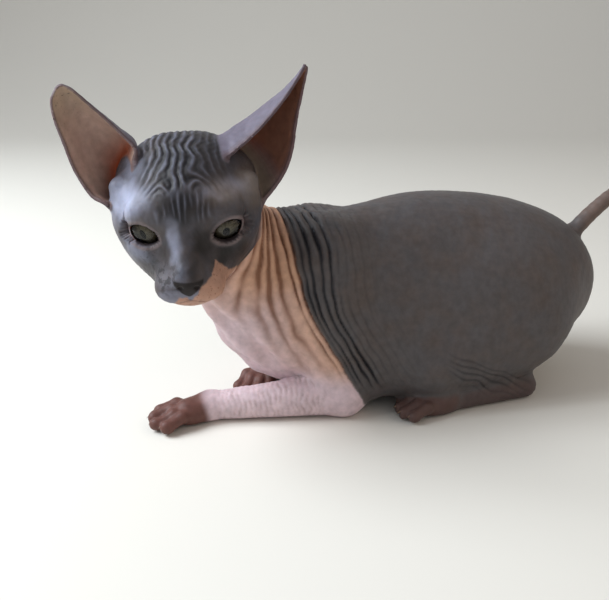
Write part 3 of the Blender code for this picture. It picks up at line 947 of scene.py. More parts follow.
# %% The body's blank
body_forms = [*trunk.forms, *tail.forms]
for paw in paws.values():
    body_forms += paw.forms
for form in skull.forms:
    body_forms.append(form.turned(HEAD_AXES, HEAD_PLACE))
body_blank = drawn_skin(blank_of("body_blank", body_forms), BODY_VOXEL)
print("body blank", len(body_blank.data.vertices), "points")

# %% [markdown]
# ## Folds
# Bare skin falls into folds that follow lines: rings round the neck, a fan of furrows over the brow, rings on
# the foreleg. Each family is a number that is constant along its lines. The height is a rounded ridge with
# a sharp valley at every whole step of that number, and slow waves bend the lines so that no two are alike.

# %% Slow waves and soft steps


def waves(points, length, seed, count=7):
    """A smooth random value, about -1 to 1, that changes over about that length."""
    dice = np.random.default_rng(seed)
    total = np.zeros(len(points))
    for _ in range(count):
        aim = dice.normal(size=3)
        aim *= dice.uniform(0.7, 1.4) * 2 * math.pi / (length * np.linalg.norm(aim))
        total += np.sin(points @ aim + dice.uniform(0, 2 * math.pi))
    return total / math.sqrt(count / 2) / 1.6


def soft_above(value, width):
    """Value where it is well above zero, zero where it is well below."""
    return width * np.logaddexp(0.0, value / width)


def folds(number, spacing, sharpness=0.7):
    """Height from 0 on the ridges to -1 in the valleys, and how near the valley's middle it is."""
    phase = number / spacing
    height = np.abs(np.sin(math.pi * phase)) ** sharpness - 1.0
    offset = np.abs(phase - np.round(phase)) * spacing
    return height, offset


# %% Neck, flank and leg folds


LEAN = ((-95, -88, -82, -76, -70, -60, -45), (1.0, 1.0, 0.8, 0.2, -0.12, -0.06, 0.0))
VALLEYS = np.array((-110, -104, -99, -95, -92, -89, -86.3, -84, -82, -80, -78, -76.1, -74.2, -72.0, -69.0, -65.3,
                    -62.4, -59.3, -54.4, -50, -46, -42, -38, -33.5, -29, -24, -19, -14), float)
DEPTHS = np.array((0, 0, 0.1, 0.2, 0.4, 0.6, 0.7, 0.8, 0.85, 0.9, 0.95, 1.0, 1.05, 1.1, 1.1, 1.1,
                   0.8, 1.3, 1.5, 1.7, 0.4, 0.3, 0.2, 0.14, 0.1, 0.07, 0.03, 0.0), float)


def neck_number(points):
    """Constant along each fold of neck and shoulder: the fold's Y at the nape. Found by halving."""
    y, z = points[:, 1], points[:, 2]
    high = 57.0 + soft_above(z - 57.0, 4.0) - 96.0
    low = 0.6 * soft_above(58 - z, 6.0)
    under = y - 60.0
    over = y + 60.0
    for _ in range(18):
        middle = (under + over) / 2
        place = middle + np.interp(middle, *LEAN) * high + low * ramp(middle, -90, -74)
        under = np.where(place < y, middle, under)
        over = np.where(place < y, over, middle)
    return (under + over) / 2


def uneven_folds(number, sharpness=0.6):
    """Folds whose valleys lie at the listed numbers: height, distance to the valley and the valley's depth."""
    index = np.clip(np.searchsorted(VALLEYS, number) - 1, 0, len(VALLEYS) - 2)
    start = VALLEYS[index]
    width = VALLEYS[index + 1] - start
    share = np.clip((number - start) / width, 0, 1)
    offset = np.minimum(share, 1 - share) * width
    depth = DEPTHS[index] + (DEPTHS[index + 1] - DEPTHS[index]) * ramp(share, 0.3, 0.7)
    return (np.sin(math.pi * share) ** sharpness - 1.0) * depth, offset, depth


def body_folds(points):
    """Heights in millimetres and how dark each valley is painted, as shade, for everything below the neck's seam."""
    x, y, z = points.T
    number = neck_number(points)
    calm = 0.45 + 0.55 * ramp(number, -72, -62)
    bent = number + calm * (0.55 * waves(points, 30, 3) + 0.32 * waves(points, 11, 4))
    legs = np.minimum(forearms[1].distance(points), forearms[-1].distance(points))
    off_leg = ramp(legs, -1.0, 7.0)
    height, offset, depth = uneven_folds(bent)
    chest = ramp(number, -75, -82) * ramp(z, 80, 66) + 0.55 * ramp(number, -70, -77) * ramp(z, 60, 44)
    chest = np.clip(chest, 0, 1)
    strength = np.clip(1.0 + 0.4 * waves(points, 15, 5), 0.45, 1.3) * ramp(z, 12, 28) * off_leg * (1 - 0.8 * chest)
    strength = strength * (1 - ramp(number, -60, -68) * ramp(z, 46, 30) * 0.35)
    narrow = 0.62 + 0.38 * ramp(number, -76, -64)
    nape = 1.0 + 0.5 * ramp(z, 78, 92)
    total = 1.35 * nape * strength * height * narrow
    # painted shade: a narrow dark line in each valley, with a broader soft band round it
    line = bell(offset, 0.62 * narrow) + 0.35 * bell(offset, 1.2 * narrow)
    dark = np.clip(strength * depth, 0, 1.3) * line * 0.9
    dark = dark * (1 - 0.4 * ramp(z, 68, 50) * ramp(number, -64, -68))
    fine, fine_offset = folds(bent + 0.5 * waves(points, 6, 6), 2.1)
    faint = ramp(number, -8, -44) * ramp(number, -80, -62) * off_leg * ramp(z, 8, 20)
    total += 0.07 * faint * fine
    dark = np.maximum(dark, 0.10 * faint * bell(fine_offset, 0.4))
    total += 1.3 * chest * off_leg * waves(points * (1.0, 1.0, 0.6), 12, 12)
    haunch = z + 0.52 * (y - 14) + 1.2 * waves(points, 18, 7)
    hip, hip_offset = folds(haunch, 3.4)
    low_hip = ramp(haunch, 15, 20) * ramp(haunch, 35, 28) * ramp(y, 2, 14) * ramp(y, 76, 60) * ramp(np.abs(x), 26, 36)
    total += 0.55 * low_hip * hip
    dark = np.maximum(dark, 0.7 * low_hip * bell(hip_offset, 0.6))
    for side in (1, -1):
        share = forearms[side].share(points)
        along = share * np.linalg.norm(forearms[side].ends[1] - forearms[side].ends[0])
        ring, ring_offset = folds(along + 0.9 * waves(points, 9, 8), 2.5)
        on_leg = ramp(forearms[side].distance(points), 2.5, 0.5) * ramp(share, 0.04, 0.2) * ramp(share, 1.0, 0.93)
        on_leg = on_leg * (0.6 + 0.4 * waves(points, 8, 9))
        total += 0.42 * on_leg * ring
        dark = np.maximum(dark, 0.36 * on_leg * bell(ring_offset, 0.42))
    slack = ramp(number, -30, -60) * off_leg
    total += (0.35 * slack + 0.12) * waves(points, 13, 10) + 0.05 * waves(points, 4.0, 11)
    return total, np.clip(dark, 0, 1), bent


# %% Forehead furrows


def seen_in_front(local):
    """Across and up on the face, as the picture shows it, in millimetres from between the eyes."""
    return local[:, 0], 0.866 * local[:, 2] + 0.5 * local[:, 1] + 1.3


def brow_folds(local):
    """Furrows of the forehead: heights in millimetres, painted shade in the valleys and painted highlight on the
    ridges.
    """
    across, up_face = seen_in_front(local)
    y = local[:, 1]
    front = ramp(y, 30, 16)
    fan = soft_above(27 - up_face, 2.0) * front
    beside = across + 1.0
    spread = 0.82 * ramp(np.abs(beside), 2.5, 8.5)
    number = np.sign(beside) * (np.abs(beside) - fan * spread)
    meander = np.sin(2 * math.pi * (up_face / 11.5 + 0.1) + 0.10 * across)
    number = number + 0.9 * meander * ramp(np.abs(beside), 14, 6) + 0.5 * waves(local, 13, 21) + 0.25 * waves(local, 5, 22)
    height, offset = folds(number, 3.25, 0.8)
    strength = ramp(up_face, 13.5, 19) * ramp(across, -19, -14) * (1 - 0.62 * ramp(across, 3, 8)) * ramp(across, 20, 13)
    strength = strength * ramp(y, 50, 36) * np.clip(0.85 + 0.35 * waves(local, 9, 23), 0.25, 1.1)
    total = 0.68 * strength * height
    # painted shade in each furrow, and a painted highlight along the ridge between two furrows
    dark = np.clip(1.15 * strength, 0, 1) * bell(offset, 0.58)
    pale = np.clip(strength, 0, 1) * bell(offset - 1.6, 0.5)
    streaks = across * 1.0 + 0.7 * waves(local * (1.0, 0.35, 0.35), 6, 24)
    streak, streak_offset = folds(streaks, 2.4)
    brow = ramp(up_face, 2, 8) * ramp(up_face, 19, 14) * ramp(np.abs(across), 14, 9) * ramp(y, 14, 4)
    brow = brow * np.clip(0.55 + 0.75 * waves(local * (1.0, 0.5, 0.5), 5, 25), 0.0, 1.0)
    total += 0.16 * brow * streak
    # the brow's fine streaks: painted shade in their valleys, painted highlight on their ridges
    dark = np.maximum(dark, 0.75 * brow * bell(streak_offset, 0.55))
    pale = np.maximum(pale, 0.8 * brow * bell(streak_offset - 1.2, 0.4))
    return total, dark, pale


# %% Lines of mouth, lids and nose
MOUTH_LINE = np.array(((-13.5, -5, -19), (-11, -13, -22.5), (-7, -19, -23.5), (-3, -21, -22.3), (0, -21.5, -21),
                       (3, -21, -22.3), (7, -19, -23.5), (11, -13, -22.5), (13.5, -5, -19)), float)
PHILTRUM = np.array(((0, -24, -17.3), (0, -23, -19), (0, -21.5, -21)), float)


def line_distance(points, line):
    """How far points are from a bent line."""
    nearest = np.full(len(points), 1e3)
    for start, end in zip(line, line[1:]):
        along = end - start
        share = np.clip((points - start) @ along / (along @ along), 0, 1)
        nearest = np.minimum(nearest, np.linalg.norm(points - start - share[:, None] * along, axis=1))
    return nearest


def face_lines(local):
    """Grooves of the mouth and lids, and the masks of lid, rim and nose. The rim holds the dark lid rims and lips, with
    painted shade in the grooves, the lids' creases and the nostrils.
    """
    total = np.zeros(len(local))
    rim = np.zeros(len(local))
    lid = np.zeros(len(local))
    mouth = line_distance(local, MOUTH_LINE)
    total -= 0.9 * bell(mouth, 0.55)
    # the mouth's dark lip line, with painted shade in its groove
    rim = np.maximum(rim, 0.9 * bell(mouth, 0.6))
    philtrum = line_distance(local, PHILTRUM)
    total -= 0.5 * bell(philtrum, 0.45)
    # painted shade in the philtrum's groove
    rim = np.maximum(rim, 0.8 * bell(philtrum, 0.45))
    for side in (1, -1):
        almond, ball, seen = lid_gap(side, local)
        front = ramp(seen[:, 1], 0.0, -2.0)
        on_lid = front * ramp(ball, 7.0, 3.5)
        rim = np.maximum(rim, on_lid * ramp(almond, 0.55, 0.1) * ramp(ball, 6.0, 3.0))
        lid = np.maximum(lid, on_lid * ramp(almond, 2.6, 1.4) * ramp(almond, 0.1, 0.7))
        inner = ramp(-side * seen[:, 0], -2.0, 5.0)
        crease = bell(almond - 2.7, 0.45) * on_lid
        above = ramp(seen[:, 2], -0.5, 2.0)
        total -= crease * (0.5 * above * (0.35 + 0.65 * inner) + 0.3 * (1 - above) * inner)
        total += 0.22 * on_lid * bell(almond - 1.1, 0.7)
        # painted shade in the lid's crease
        rim = np.maximum(rim, 0.65 * crease * above * inner)
    x, y, z = local.T
    wedge = 6.1 * np.clip((z + 18.3) / 6.2, 0, 1) ** 0.75
    nose = ramp(np.abs(x) - wedge, 0.35, -0.35) * ramp(z, -18.6, -18.0) * ramp(z, -10.6, -11.4) * ramp(y, -16.5, -18.5)
    # painted shade inside the nostrils
    for nostril in nostrils:
        rim = np.maximum(rim, ramp(nostril.distance(local), 0.5, -0.2))
    return total, rim, lid, nose


# %% Where the skin is pink, pale or dark, and where highlight and shade are painted
PINK_EDGE = (
    (-14, -12, -7, -3.9, 1.1, 6.2, 7.7, 9.7, 11.1, 13.2, 16.2, 21.4, 26),
    (-32, -31, -28.6, -25.5, -27, -20.9, -19.2, -16.9, -11.8, -13.2, -15.8, -15.4, -15),
)
# Dark patches of skin; on the right of the face, away from the light, they are also painted shade.
DARK_AND_SHADED_PATCHES = (
    (0.0, 30.0, 13.0, 15.0, 0.95),
    (-1.0, 10.0, 10.5, 6.5, 1.0),
    (-8.5, -5.5, 4.5, 6.0, 0.55),
    (6.5, -5.0, 5.0, 8.0, 1.0),
    (2.6, -14.0, 2.6, 8.0, 0.7),
    (-15.0, -14.0, 5.5, 5.0, 0.45),
    (16.0, -9.5, 6.5, 4.5, 1.0),
    (21.5, -8.0, 5.0, 5.0, 0.8),
    (24.0, 4.0, 4.5, 9.0, 0.45),
    (8.0, 32.0, 13.0, 14.0, 0.85),
)
# Pale patches: mostly painted highlights on the left of the face, where the light falls (temple, cheek and the bridge
# of the nose), and partly paler skin.
PALE_AND_LIT_PATCHES = (
    (-24.5, 15.0, 8.0, 8.5, 1.0),
    (-17.0, 16.0, 5.0, 4.5, 0.5),
    (-21.0, -3.0, 5.0, 8.0, 0.35),
    (-4.4, -4.0, 2.2, 9.0, 0.5),
    (-8.0, -19.0, 6.0, 4.5, 0.12),
    (20.5, 17.5, 6.5, 3.6, 0.5),
    (12.5, 15.5, 6.0, 2.6, 0.4),
    (-20.5, 30.0, 5.0, 8.0, 0.35),
)
# Painted warm light from the fill on the right, on the right temple.
WARM_LIGHT_PATCHES = ((18.0, 15.5, 8.5, 4.5, 0.5), (27.0, 20.0, 6.0, 9.0, 0.45))
SPOTTED_PATCHES = ((-11.0, -17.0, 7.5, 7.0, 1.0), (-15.0, -9.0, 5.0, 5.0, 0.6), (14.0, -11.0, 7.0, 5.0, 0.5))


def patches(across, up_face, listed):
    """Soft-edged oval patches on the face: centre, half sizes and strength."""
    total = np.zeros(len(across))
    for u, w, width, height, strength in listed:
        reach = ((across - u) / width) ** 2 + ((up_face - w) / height) ** 2
        total = np.maximum(total, strength * np.exp(-(reach**1.3)))
    return total


def face_masks(local):
    """Pink patch of chin and cheek, the pale places, partly painted highlight, and the dark ones, partly painted shade.
    """
    across, up_face = seen_in_front(local)
    bent = across + 0.9 * waves(local, 7, 32)
    lifted = up_face + 0.9 * waves(local, 7, 33)
    edge = np.interp(across, *PINK_EDGE) + 0.5 * waves(local, 3, 31)
    pink = ramp(edge - up_face, -0.6, 0.8)
    front = ramp(local[:, 1], 36, 22)
    pale = patches(bent, lifted, PALE_AND_LIT_PATCHES) * front
    dusk = patches(bent, lifted, DARK_AND_SHADED_PATCHES) * ramp(local[:, 1], 52, 36)
    pale = np.maximum(pale, 0.3 * ramp(up_face, -21.5, -24.5) * ramp(across, -14, -11) * front)
    return pink, pale, dusk


# %% [markdown]
# ## Shaping the head's skin
# Now each point of the head's blank moves along its normal by the heights above, and carries the masks that
# the finish will read.

# %% Masks of the ears
# Painted glow: the ear towards the light shows light through its thin skin in its colour; the other keeps the shaded
# colour.
EAR_PAINTED_GLOW = {"right": 1.0, "left": 0.1}


def hollow_side(ear):
    """1 or -1: which side of the sheet its normals point to, as against the cup's hollow."""
    row, column = EAR_ROWS // 2, EAR_COLUMNS // 2
    middle = ear.spots[row, column]
    hollow = ear.spots[row, [0, -1]].mean(0) - middle
    normal = np.cross(ear.spots[row, column + 1] - middle, ear.spots[row + 1, column] - middle)
    return np.sign(normal @ hollow)


def ear_masks(local):
    """For both ears: what is ear, the cup with its depth, tip, glow and lobe, the dark edge, and the height."""
    names = ("ear", "inside", "deep", "tip", "glow", "lobe", "edge", "height")
    masks = {name: np.zeros(len(local)) for name in names}
    for name, ear in ears.items():
        near = np.flatnonzero(ear.near(local))
        offset, normals, rows, columns = ear.nearest(local[near])
        front = hollow_side(ear) * (offset * normals).sum(axis=1)
        on_ear = ramp(np.linalg.norm(offset, axis=1), 2.2, 1.1)
        above = ramp(rows, 0.04, 0.16)
        edge = np.maximum(ramp(np.abs(columns), 0.90, 0.99), ramp(rows, 0.955, 0.99))
        cup = on_ear * ramp(front, -0.1, 0.25) * ramp(rows, 0.05, 0.17)
        lobe = np.zeros(len(near))
        if name == "left":
            low_lobe = ramp(columns, -0.1, 0.25) * ramp(rows, 0.32, 0.20)
            lobe = cup * low_lobe
            cup = cup * (1 - low_lobe) * ramp(columns, -0.92, -0.62)
        here = {
            "ear": on_ear * above,
            "inside": cup,
            "deep": cup * ramp(rows, 0.42, 0.16) * ramp(np.abs(columns + 0.15), 0.75, 0.25),
            "tip": ramp(rows, 0.45, 0.85),
            "glow": EAR_PAINTED_GLOW[name] * ramp(rows, 0.0, 0.3),
            "lobe": lobe,
            "edge": on_ear * edge * above,
        }
        for mask, values in here.items():
            masks[mask][near] = np.maximum(masks[mask][near], values)
        veins = 0.10 * np.sin(9 * columns + 2.0 * waves(local[near], 14, 41)) * ramp(rows, 0.9, 0.5)
        masks["height"][near] += cup * (1 - edge) * veins + 0.06 * on_ear * waves(local[near], 4, 42)
    return masks


# %% Head


def shaped(obj, heights):
    """Moves each point along its normal by its height, but never below the floor."""
    mesh = obj.data
    points = points_of(mesh) + normals_of(mesh) * heights[:, None]
    points[:, 2] = np.maximum(points[:, 2], 0.0)
    set_points(mesh, points)


def store(mesh, name, values):
    """Stores a number for each of the mesh's points."""
    layer = mesh.attributes.new(name, "FLOAT", "POINT")
    layer.data.foreach_set("value", values.astype(np.float32))


def keep(mesh, **masks):
    """Stores each mask on the mesh's points."""
    for name, values in masks.items():
        store(mesh, name, np.clip(values, 0, 1))


def head_skin(obj):
    points = points_of(obj.data)
    local = to_head(points)
    ear = ear_masks(local)
    on_ear = ear["ear"]
    below = ramp(trunk.distance(points) - skull.distance(local), 2.0, -4.0)
    below = below * ramp(points[:, 2], 118, 108) * (1 - on_ear)
    body_height, body_dark, _ = body_folds(points)
    height, dark, pale = brow_folds(local)
    lines, rim, lid, nose = face_lines(local)
    pink, pale_and_lit, dusk = face_masks(local)
    face = (1 - below) * (1 - on_ear)
    grain = 0.05 * waves(local, 3.2, 51) + 0.03 * waves(local, 1.7, 52)
    total = body_height * below + face * (height + lines + grain) + ear.pop("height")
    shaped(obj, total)
    # painted warm light on the right temple, mixed in with the lobe's colour
    warm_lit_temple = patches(*seen_in_front(local), WARM_LIGHT_PATCHES) * face * ramp(local[:, 1], 30, 18)
    ear["lobe"] = np.maximum(ear["lobe"], warm_lit_temple)
    keep(
        obj.data,
        valley=np.maximum(body_dark * below, dark * face),
        pink=np.maximum(below, pink * (1 - on_ear)),
        # pale: painted highlights on the forehead's ridges and on the lit patches, with some paler skin
        pale=np.maximum(0.30 * pale, pale_and_lit) * face,
        dusk=dusk * face,
        spotted=patches(*seen_in_front(local), SPOTTED_PATCHES) * face,
        face=face,
        # warm: painted warm shade on the neck under the head
        warm=below * ramp(points[:, 2], 60, 85),
        rim=rim * face,
        lid=lid * face,
        nose=nose * face,
        **ear,
    )


head_skin(head_blank)

# %% [markdown]
# ## Shaping the body's skin
# The border between pink and grey skin runs down one fold of the neck. Behind it the back is slate grey, and
# before it the throat, chest and forelegs are pink.

# %% Body
PINK_BORDER = -65.3


def body_skin(obj):
    points = points_of(obj.data)
    x, y, z = points.T
    height, dark, number = body_folds(points)
    pink = ramp(number + 0.35 * waves(points, 4, 61), PINK_BORDER + 0.55, PINK_BORDER - 0.55) * ramp(z, 96, 90)
    pink = np.maximum(pink, ramp(number, -64, -67))
    for side in (1, -1):
        share = forearms[side].share(points)
        on_leg = ramp(forearms[side].distance(points), 3.0, 0.5) * ramp(share, 0.12, 0.3)
        pink = np.maximum(pink, on_leg)
    foot = np.zeros(len(points))
    for name, paw in paws.items():
        reach = ramp(paw.distance(points), 1.5, 0.2)
        foot = np.maximum(foot, reach)
        if name.startswith("fore"):
            pink = np.maximum(pink, reach)
    # the hind feet darken towards the floor: painted shade under the haunch
    hind = Limb(HEEL, HIND_TOES, 6.4, 5.4)
    for limb in (hind, hind.mirrored()):
        foot = np.maximum(foot, 0.6 * ramp(limb.distance(points), 2.0, 0.2) * ramp(z, 13, 8))
    on_tail = ramp(tail.distance(points), 2.0, 0.3) * ramp(y, 96, 104)
    tail_ring, tail_offset = folds(y * 0.6 - z * 0.8 + x * 0.3, 1.9)
    height = height * (1 - on_tail) * (1 - 0.7 * foot) + 0.05 * on_tail * tail_ring
    height = height * ramp(z, 0.3, 2.0)
    shaped(obj, height)
    # warm: painted warm shade on the neck's side away from the light and low on the chest by the leg
    warm = np.maximum(ramp(number, -88, -76) * ramp(z, 44, 74), 0.85 * ramp(number, -80, -69) * ramp(z, 16, 30))
    keep(obj.data, valley=dark * (1 - on_tail) * (1 - foot), pink=pink, foot=foot, tail=on_tail, warm=warm)


body_skin(body_blank)

# %% [markdown]
# ## Pieces of skin
# One mesh may hold only so many faces, so the skin is parted into a head, two ears, a front, a belly and a
# rear. The normals are stored before the cut and put back after it, so that light runs on over the joins.

# %% Cutting along planes
NECK_PLANE = (np.array((0.0, -62.0, 103.0)), np.array((0.0, -0.6, 0.8)))
WAIST_PLANE = (np.array((0.0, -16.0, 50.0)), np.array((0.0, 1.0, 0.0)))
HIP_PLANE = (np.array((0.0, 46.0, 50.0)), np.array((0.0, 1.0, 0.0)))


def cut_piece(source, name, *cuts):
    """The part of the skin on the kept side of every plane, closed by a cap that no one sees."""
    mesh = source.data.copy()
    layer = mesh.attributes.new("light", "FLOAT_VECTOR", "POINT")
    layer.data.foreach_set("vector", normals_of(source.data).astype(np.float32).ravel())
    shape = bmesh.new()
    shape.from_mesh(mesh)
    for place, facing, keep_ahead in cuts:
        geometry = shape.verts[:] + shape.edges[:] + shape.faces[:]
        bmesh.ops.bisect_plane(
            shape,
            geom=geometry,
            dist=1e-4,
            plane_co=place,
            plane_no=facing,
            clear_inner=keep_ahead,
            clear_outer=not keep_ahead,
        )
        rim = [edge for edge in shape.edges if edge.is_boundary]
        caps = bmesh.ops.holes_fill(shape, edges=rim, sides=0)["faces"]
        bmesh.ops.triangulate(shape, faces=caps)
    drop_scraps(shape)
    shape.to_mesh(mesh)
    shape.free()
    light = np.empty(len(mesh.vertices) * 3, np.float32)
    mesh.attributes["light"].data.foreach_get("vector", light)
    mesh.attributes.remove(mesh.attributes["light"])
    mesh.transform(Matrix.Scale(MM, 4) @ Matrix.Translation(SLIDE))
    mesh.shade_smooth()
    light = light.reshape(-1, 3)
    light /= np.linalg.norm(light, axis=1, keepdims=True) + 1e-9
    mesh.normals_split_custom_set_from_vertices(light.tolist())
    piece = linked(name, mesh)
    print(name, len(mesh.vertices), "points", sum(len(p.vertices) - 2 for p in mesh.polygons), "triangles")
    return piece


def drop_scraps(shape):
    """Keeps only the largest connected part."""
    unseen = set(shape.verts)
    islands = []
    while unseen:
        start = unseen.pop()
        island = [start]
        search = [start]
        while search:
            vertex = search.pop()
            for edge in vertex.link_edges:
                other = edge.other_vert(vertex)
                if other in unseen:
                    unseen.discard(other)
                    island.append(other)
                    search.append(other)
        islands.append(island)
    largest = max(islands, key=len)
    loose = [v for island in islands if island is not largest for v in island]
    bmesh.ops.delete(shape, geom=loose, context="VERTS")


EAR_PLANE = 36.0
EAR_FACING = (0.787, 0.0, 0.617)


def ear_plane(side):
    """A plane just outside the skull that only the ear passes through."""
    facing = np.array(EAR_FACING) * (side, 1, 1)
    return from_head(facing * EAR_PLANE), HEAD_AXES @ facing


skin_pieces = [
    cut_piece(head_blank, "skin_head", (*NECK_PLANE, True), (*ear_plane(1), False), (*ear_plane(-1), False)),
    cut_piece(head_blank, "skin_ear_left", (*ear_plane(1), True)),
    cut_piece(head_blank, "skin_ear_right", (*ear_plane(-1), True)),
    cut_piece(body_blank, "skin_front", (*NECK_PLANE, False), (*WAIST_PLANE, False)),
    cut_piece(body_blank, "skin_belly", (*NECK_PLANE, False), (*WAIST_PLANE, True), (*HIP_PLANE, False)),
    cut_piece(body_blank, "skin_rear", (*NECK_PLANE, False), (*HIP_PLANE, True)),
]
for blank in (head_blank, body_blank):
    bpy.data.objects.remove(blank)

# %% [markdown]
# ## The skin's finish
# Sphynx skin is matt and a little velvety, and thin at the ears, where the glow of the ear towards the light is
# painted into its colour. Every valley is painted darker than its ridges, as shade. One material serves all the
# pieces, and the masks say where each tint goes.

# %% Skin
SLATE = (0.090, 0.081, 0.082, 1.0)
SLATE_WARM = (0.098, 0.074, 0.064, 1.0)
FACE_GREY = (0.070, 0.070, 0.088, 1.0)
FACE_BROWN = (0.076, 0.056, 0.048, 1.0)
FACE_DARK_AND_SHADE = (0.014, 0.011, 0.011, 1.0)
FURROW_SHADE = (0.007, 0.007, 0.011, 1.0)
LAVENDER_HIGHLIGHT = (0.40, 0.42, 0.55, 1.0)
CHEST_PINK = (0.63, 0.49, 0.52, 1.0)
NECK_PINK_IN_SHADE = (0.58, 0.34, 0.225, 1.0)
PINK_FOLD_SHADE_AND_FRECKLE = (0.16, 0.055, 0.022, 1.0)
MUZZLE_PINK = (0.42, 0.235, 0.165, 1.0)
EAR_BACK = (0.15, 0.13, 0.17, 1.0)
LOBE_AND_WARM_LIGHT = (0.26, 0.20, 0.15, 1.0)
EAR_EDGE = (0.105, 0.066, 0.072, 1.0)
CUP_LIT_GLOW = (0.50, 0.35, 0.29, 1.0)
CUP_TIP_LIT_GLOW = (0.36, 0.26, 0.19, 1.0)
CUP_SHADE = (0.21, 0.080, 0.045, 1.0)
CUP_DEEP = (0.38, 0.075, 0.022, 1.0)
DARK_RIM_AND_CREASE_SHADE = (0.030, 0.019, 0.021, 1.0)
LID = (0.20, 0.155, 0.155, 1.0)
NOSE = (0.008, 0.004, 0.004, 1.0)
PAW_SKIN_IN_SHADE = (0.105, 0.033, 0.019, 1.0)
TAIL = (0.15, 0.105, 0.088, 1.0)


def skin_finish():
    """One finish for the whole skin, from slate back to pink chest."""
    skin = Finish("bare_skin")
    pink = skin.mask("pink")
    face = skin.mask("face")
    valley = skin.mask("valley")
    inside = skin.mask("inside")
    mottle = skin.noise(260, 4.0)
    blotch = skin.noise(70, 3.0)
    slate = skin.mix(skin.ranged(blotch, 0.4, 0.75, 0.0, 0.8), SLATE, SLATE_WARM)
    grey = skin.mix(skin.ranged(blotch, 0.35, 0.7), FACE_GREY, FACE_BROWN)
    # darker skin, with painted shade on the side away from the light
    grey = skin.mix(skin.mask("dusk"), grey, FACE_DARK_AND_SHADE)
    # painted highlight: the lit places of the face turn lavender
    grey = skin.mix(skin.mask("pale"), grey, LAVENDER_HIGHLIGHT)
    # the neck and low chest take the pink in painted warm shade
    rosy = skin.mix(face, skin.mix(skin.mask("warm"), CHEST_PINK, NECK_PINK_IN_SHADE), MUZZLE_PINK)
    base = skin.mix(pink, skin.mix(face, slate, grey), rosy)
    # painted light: the cup of the ear towards the light takes the lit, glowing colours, the other the shaded one
    cup = skin.mix(skin.mask("glow"), CUP_SHADE, skin.mix(skin.mask("tip"), CUP_LIT_GLOW, CUP_TIP_LIT_GLOW))
    speck = skin.ranged(skin.noise(900, 2.0), 0.64, 0.70) * skin.mask("tip") * inside
    base = skin.mix(skin.mask("ear"), base, EAR_BACK)
    # the left ear's low lobe, and painted warm light on the right temple
    base = skin.mix(skin.mask("lobe"), base, LOBE_AND_WARM_LIGHT)
    base = skin.mix(inside, base, cup)
    base = skin.mix(skin.mask("deep"), base, CUP_DEEP)
    base = skin.mix(speck * 0.6, base, DARK_RIM_AND_CREASE_SHADE)
    base = skin.mix(skin.mask("lid") * 0.8, base, LID)
    # painted shade darkens the paws to brown
    base = skin.mix(skin.mask("foot") * (0.5 + 0.45 * pink), base, PAW_SKIN_IN_SHADE)
    base = skin.mix(skin.mask("tail"), base, TAIL)
    # painted shade in every fold's valley: blue-black on grey skin, red-brown on pink skin
    base = skin.mix(valley * 0.85, base, skin.mix(pink, FURROW_SHADE, PINK_FOLD_SHADE_AND_FRECKLE))
    base = skin.mix(skin.mask("edge") * 0.8, base, EAR_EDGE)
    # dark rims of lids and lips, with painted shade in grooves, creases and nostrils
    base = skin.mix(skin.mask("rim") * 0.95, base, DARK_RIM_AND_CREASE_SHADE)
    base = skin.mix(skin.mask("nose"), base, NOSE)
    spots = skin.ranged(skin.noise(420, 2.0), 0.52, 0.60) * skin.mask("spotted")
    base = skin.mix(spots * 0.75, base, FACE_DARK_AND_SHADE)
    freckle = skin.ranged(skin.noise(700, 2.0), 0.62, 0.68) * face * pink
    base = skin.mix(freckle * 0.55, base, PINK_FOLD_SHADE_AND_FRECKLE)
    tone = skin.ranged(mottle, 0.3, 0.7, 0.86, 1.14)
    skin.set(Base_Color=skin.times(base, tone))
    skin.set(Roughness=0.52, Subsurface_Weight=0.08, Subsurface_Scale=0.002)
    skin.surface.inputs["Subsurface Radius"].default_value = (1.0, 0.35, 0.2)
    skin.set(Sheen_Weight=0.04, Sheen_Roughness=0.4, Specular_IOR_Level=0.28)
    pores = skin.noise(1500, 2.0)
    creases = skin.noise(620, 3.0, 0.7)
    skin.bump(pores * 0.3 + creases * 0.7, 0.00012, 0.6)
    return skin.material


bare_skin = skin_finish()
for piece in skin_pieces:
    piece.data.materials.clear()
    piece.data.materials.append(bare_skin)

# %% [markdown]
# ## Eyes
# Each eye is a ball with a flat iris set back behind a clear bulging cornea, so that it catches the light in
# front of the pupil as a real one does. Each is turned until its pupil is where the picture shows it.

# %% Eyeballs and corneas
IRIS_RADIUS = 7.2
PUPIL_RADIUS = 1.6
PUPIL_STRETCH = (0.95, 1.4)
PUPIL_DEPTH = 3.3
CORNEA_RADIUS = 7.3
CORNEA_BULGE = 4.3
CORNEA_RINGS = 15
CORNEA_WALL = 0.3
EYE_SEGMENTS = 64
PUPIL_PLACES = {1: (226.5, 231.5), -1: (143.0, 234.5)}
FOCAL_PIXELS = IMAGE_WIDTH * LENS / SENSOR


def gaze(side):
    """Axes with -Y from the eyeball's middle to where its pupil is seen in the picture."""
    middle = from_head(eye_middle(side))
    across, down = PUPIL_PLACES[side]
    rightward = (across - IMAGE_WIDTH / 2) / FOCAL_PIXELS
    upward = (IMAGE_HEIGHT / 2 - down) / FOCAL_PIXELS
    ray = rightward * np.array(right) + upward * np.array(up) - np.array(back)
    ray /= np.linalg.norm(ray)
    to_eye = middle - camera_place
    along = to_eye @ ray
    miss = to_eye @ to_eye - along**2
    spot = camera_place + ray * (along - math.sqrt(max((EYE_RADIUS - PUPIL_DEPTH) ** 2 - miss, 0.0)))
    aim = Vector(spot - middle).normalized()
    print("pupil is", round(math.degrees(math.acos(aim @ Vector(-ray))), 1), "degrees off the line of sight")
    return (-aim).to_track_quat("Y", "Z").to_matrix().to_4x4()


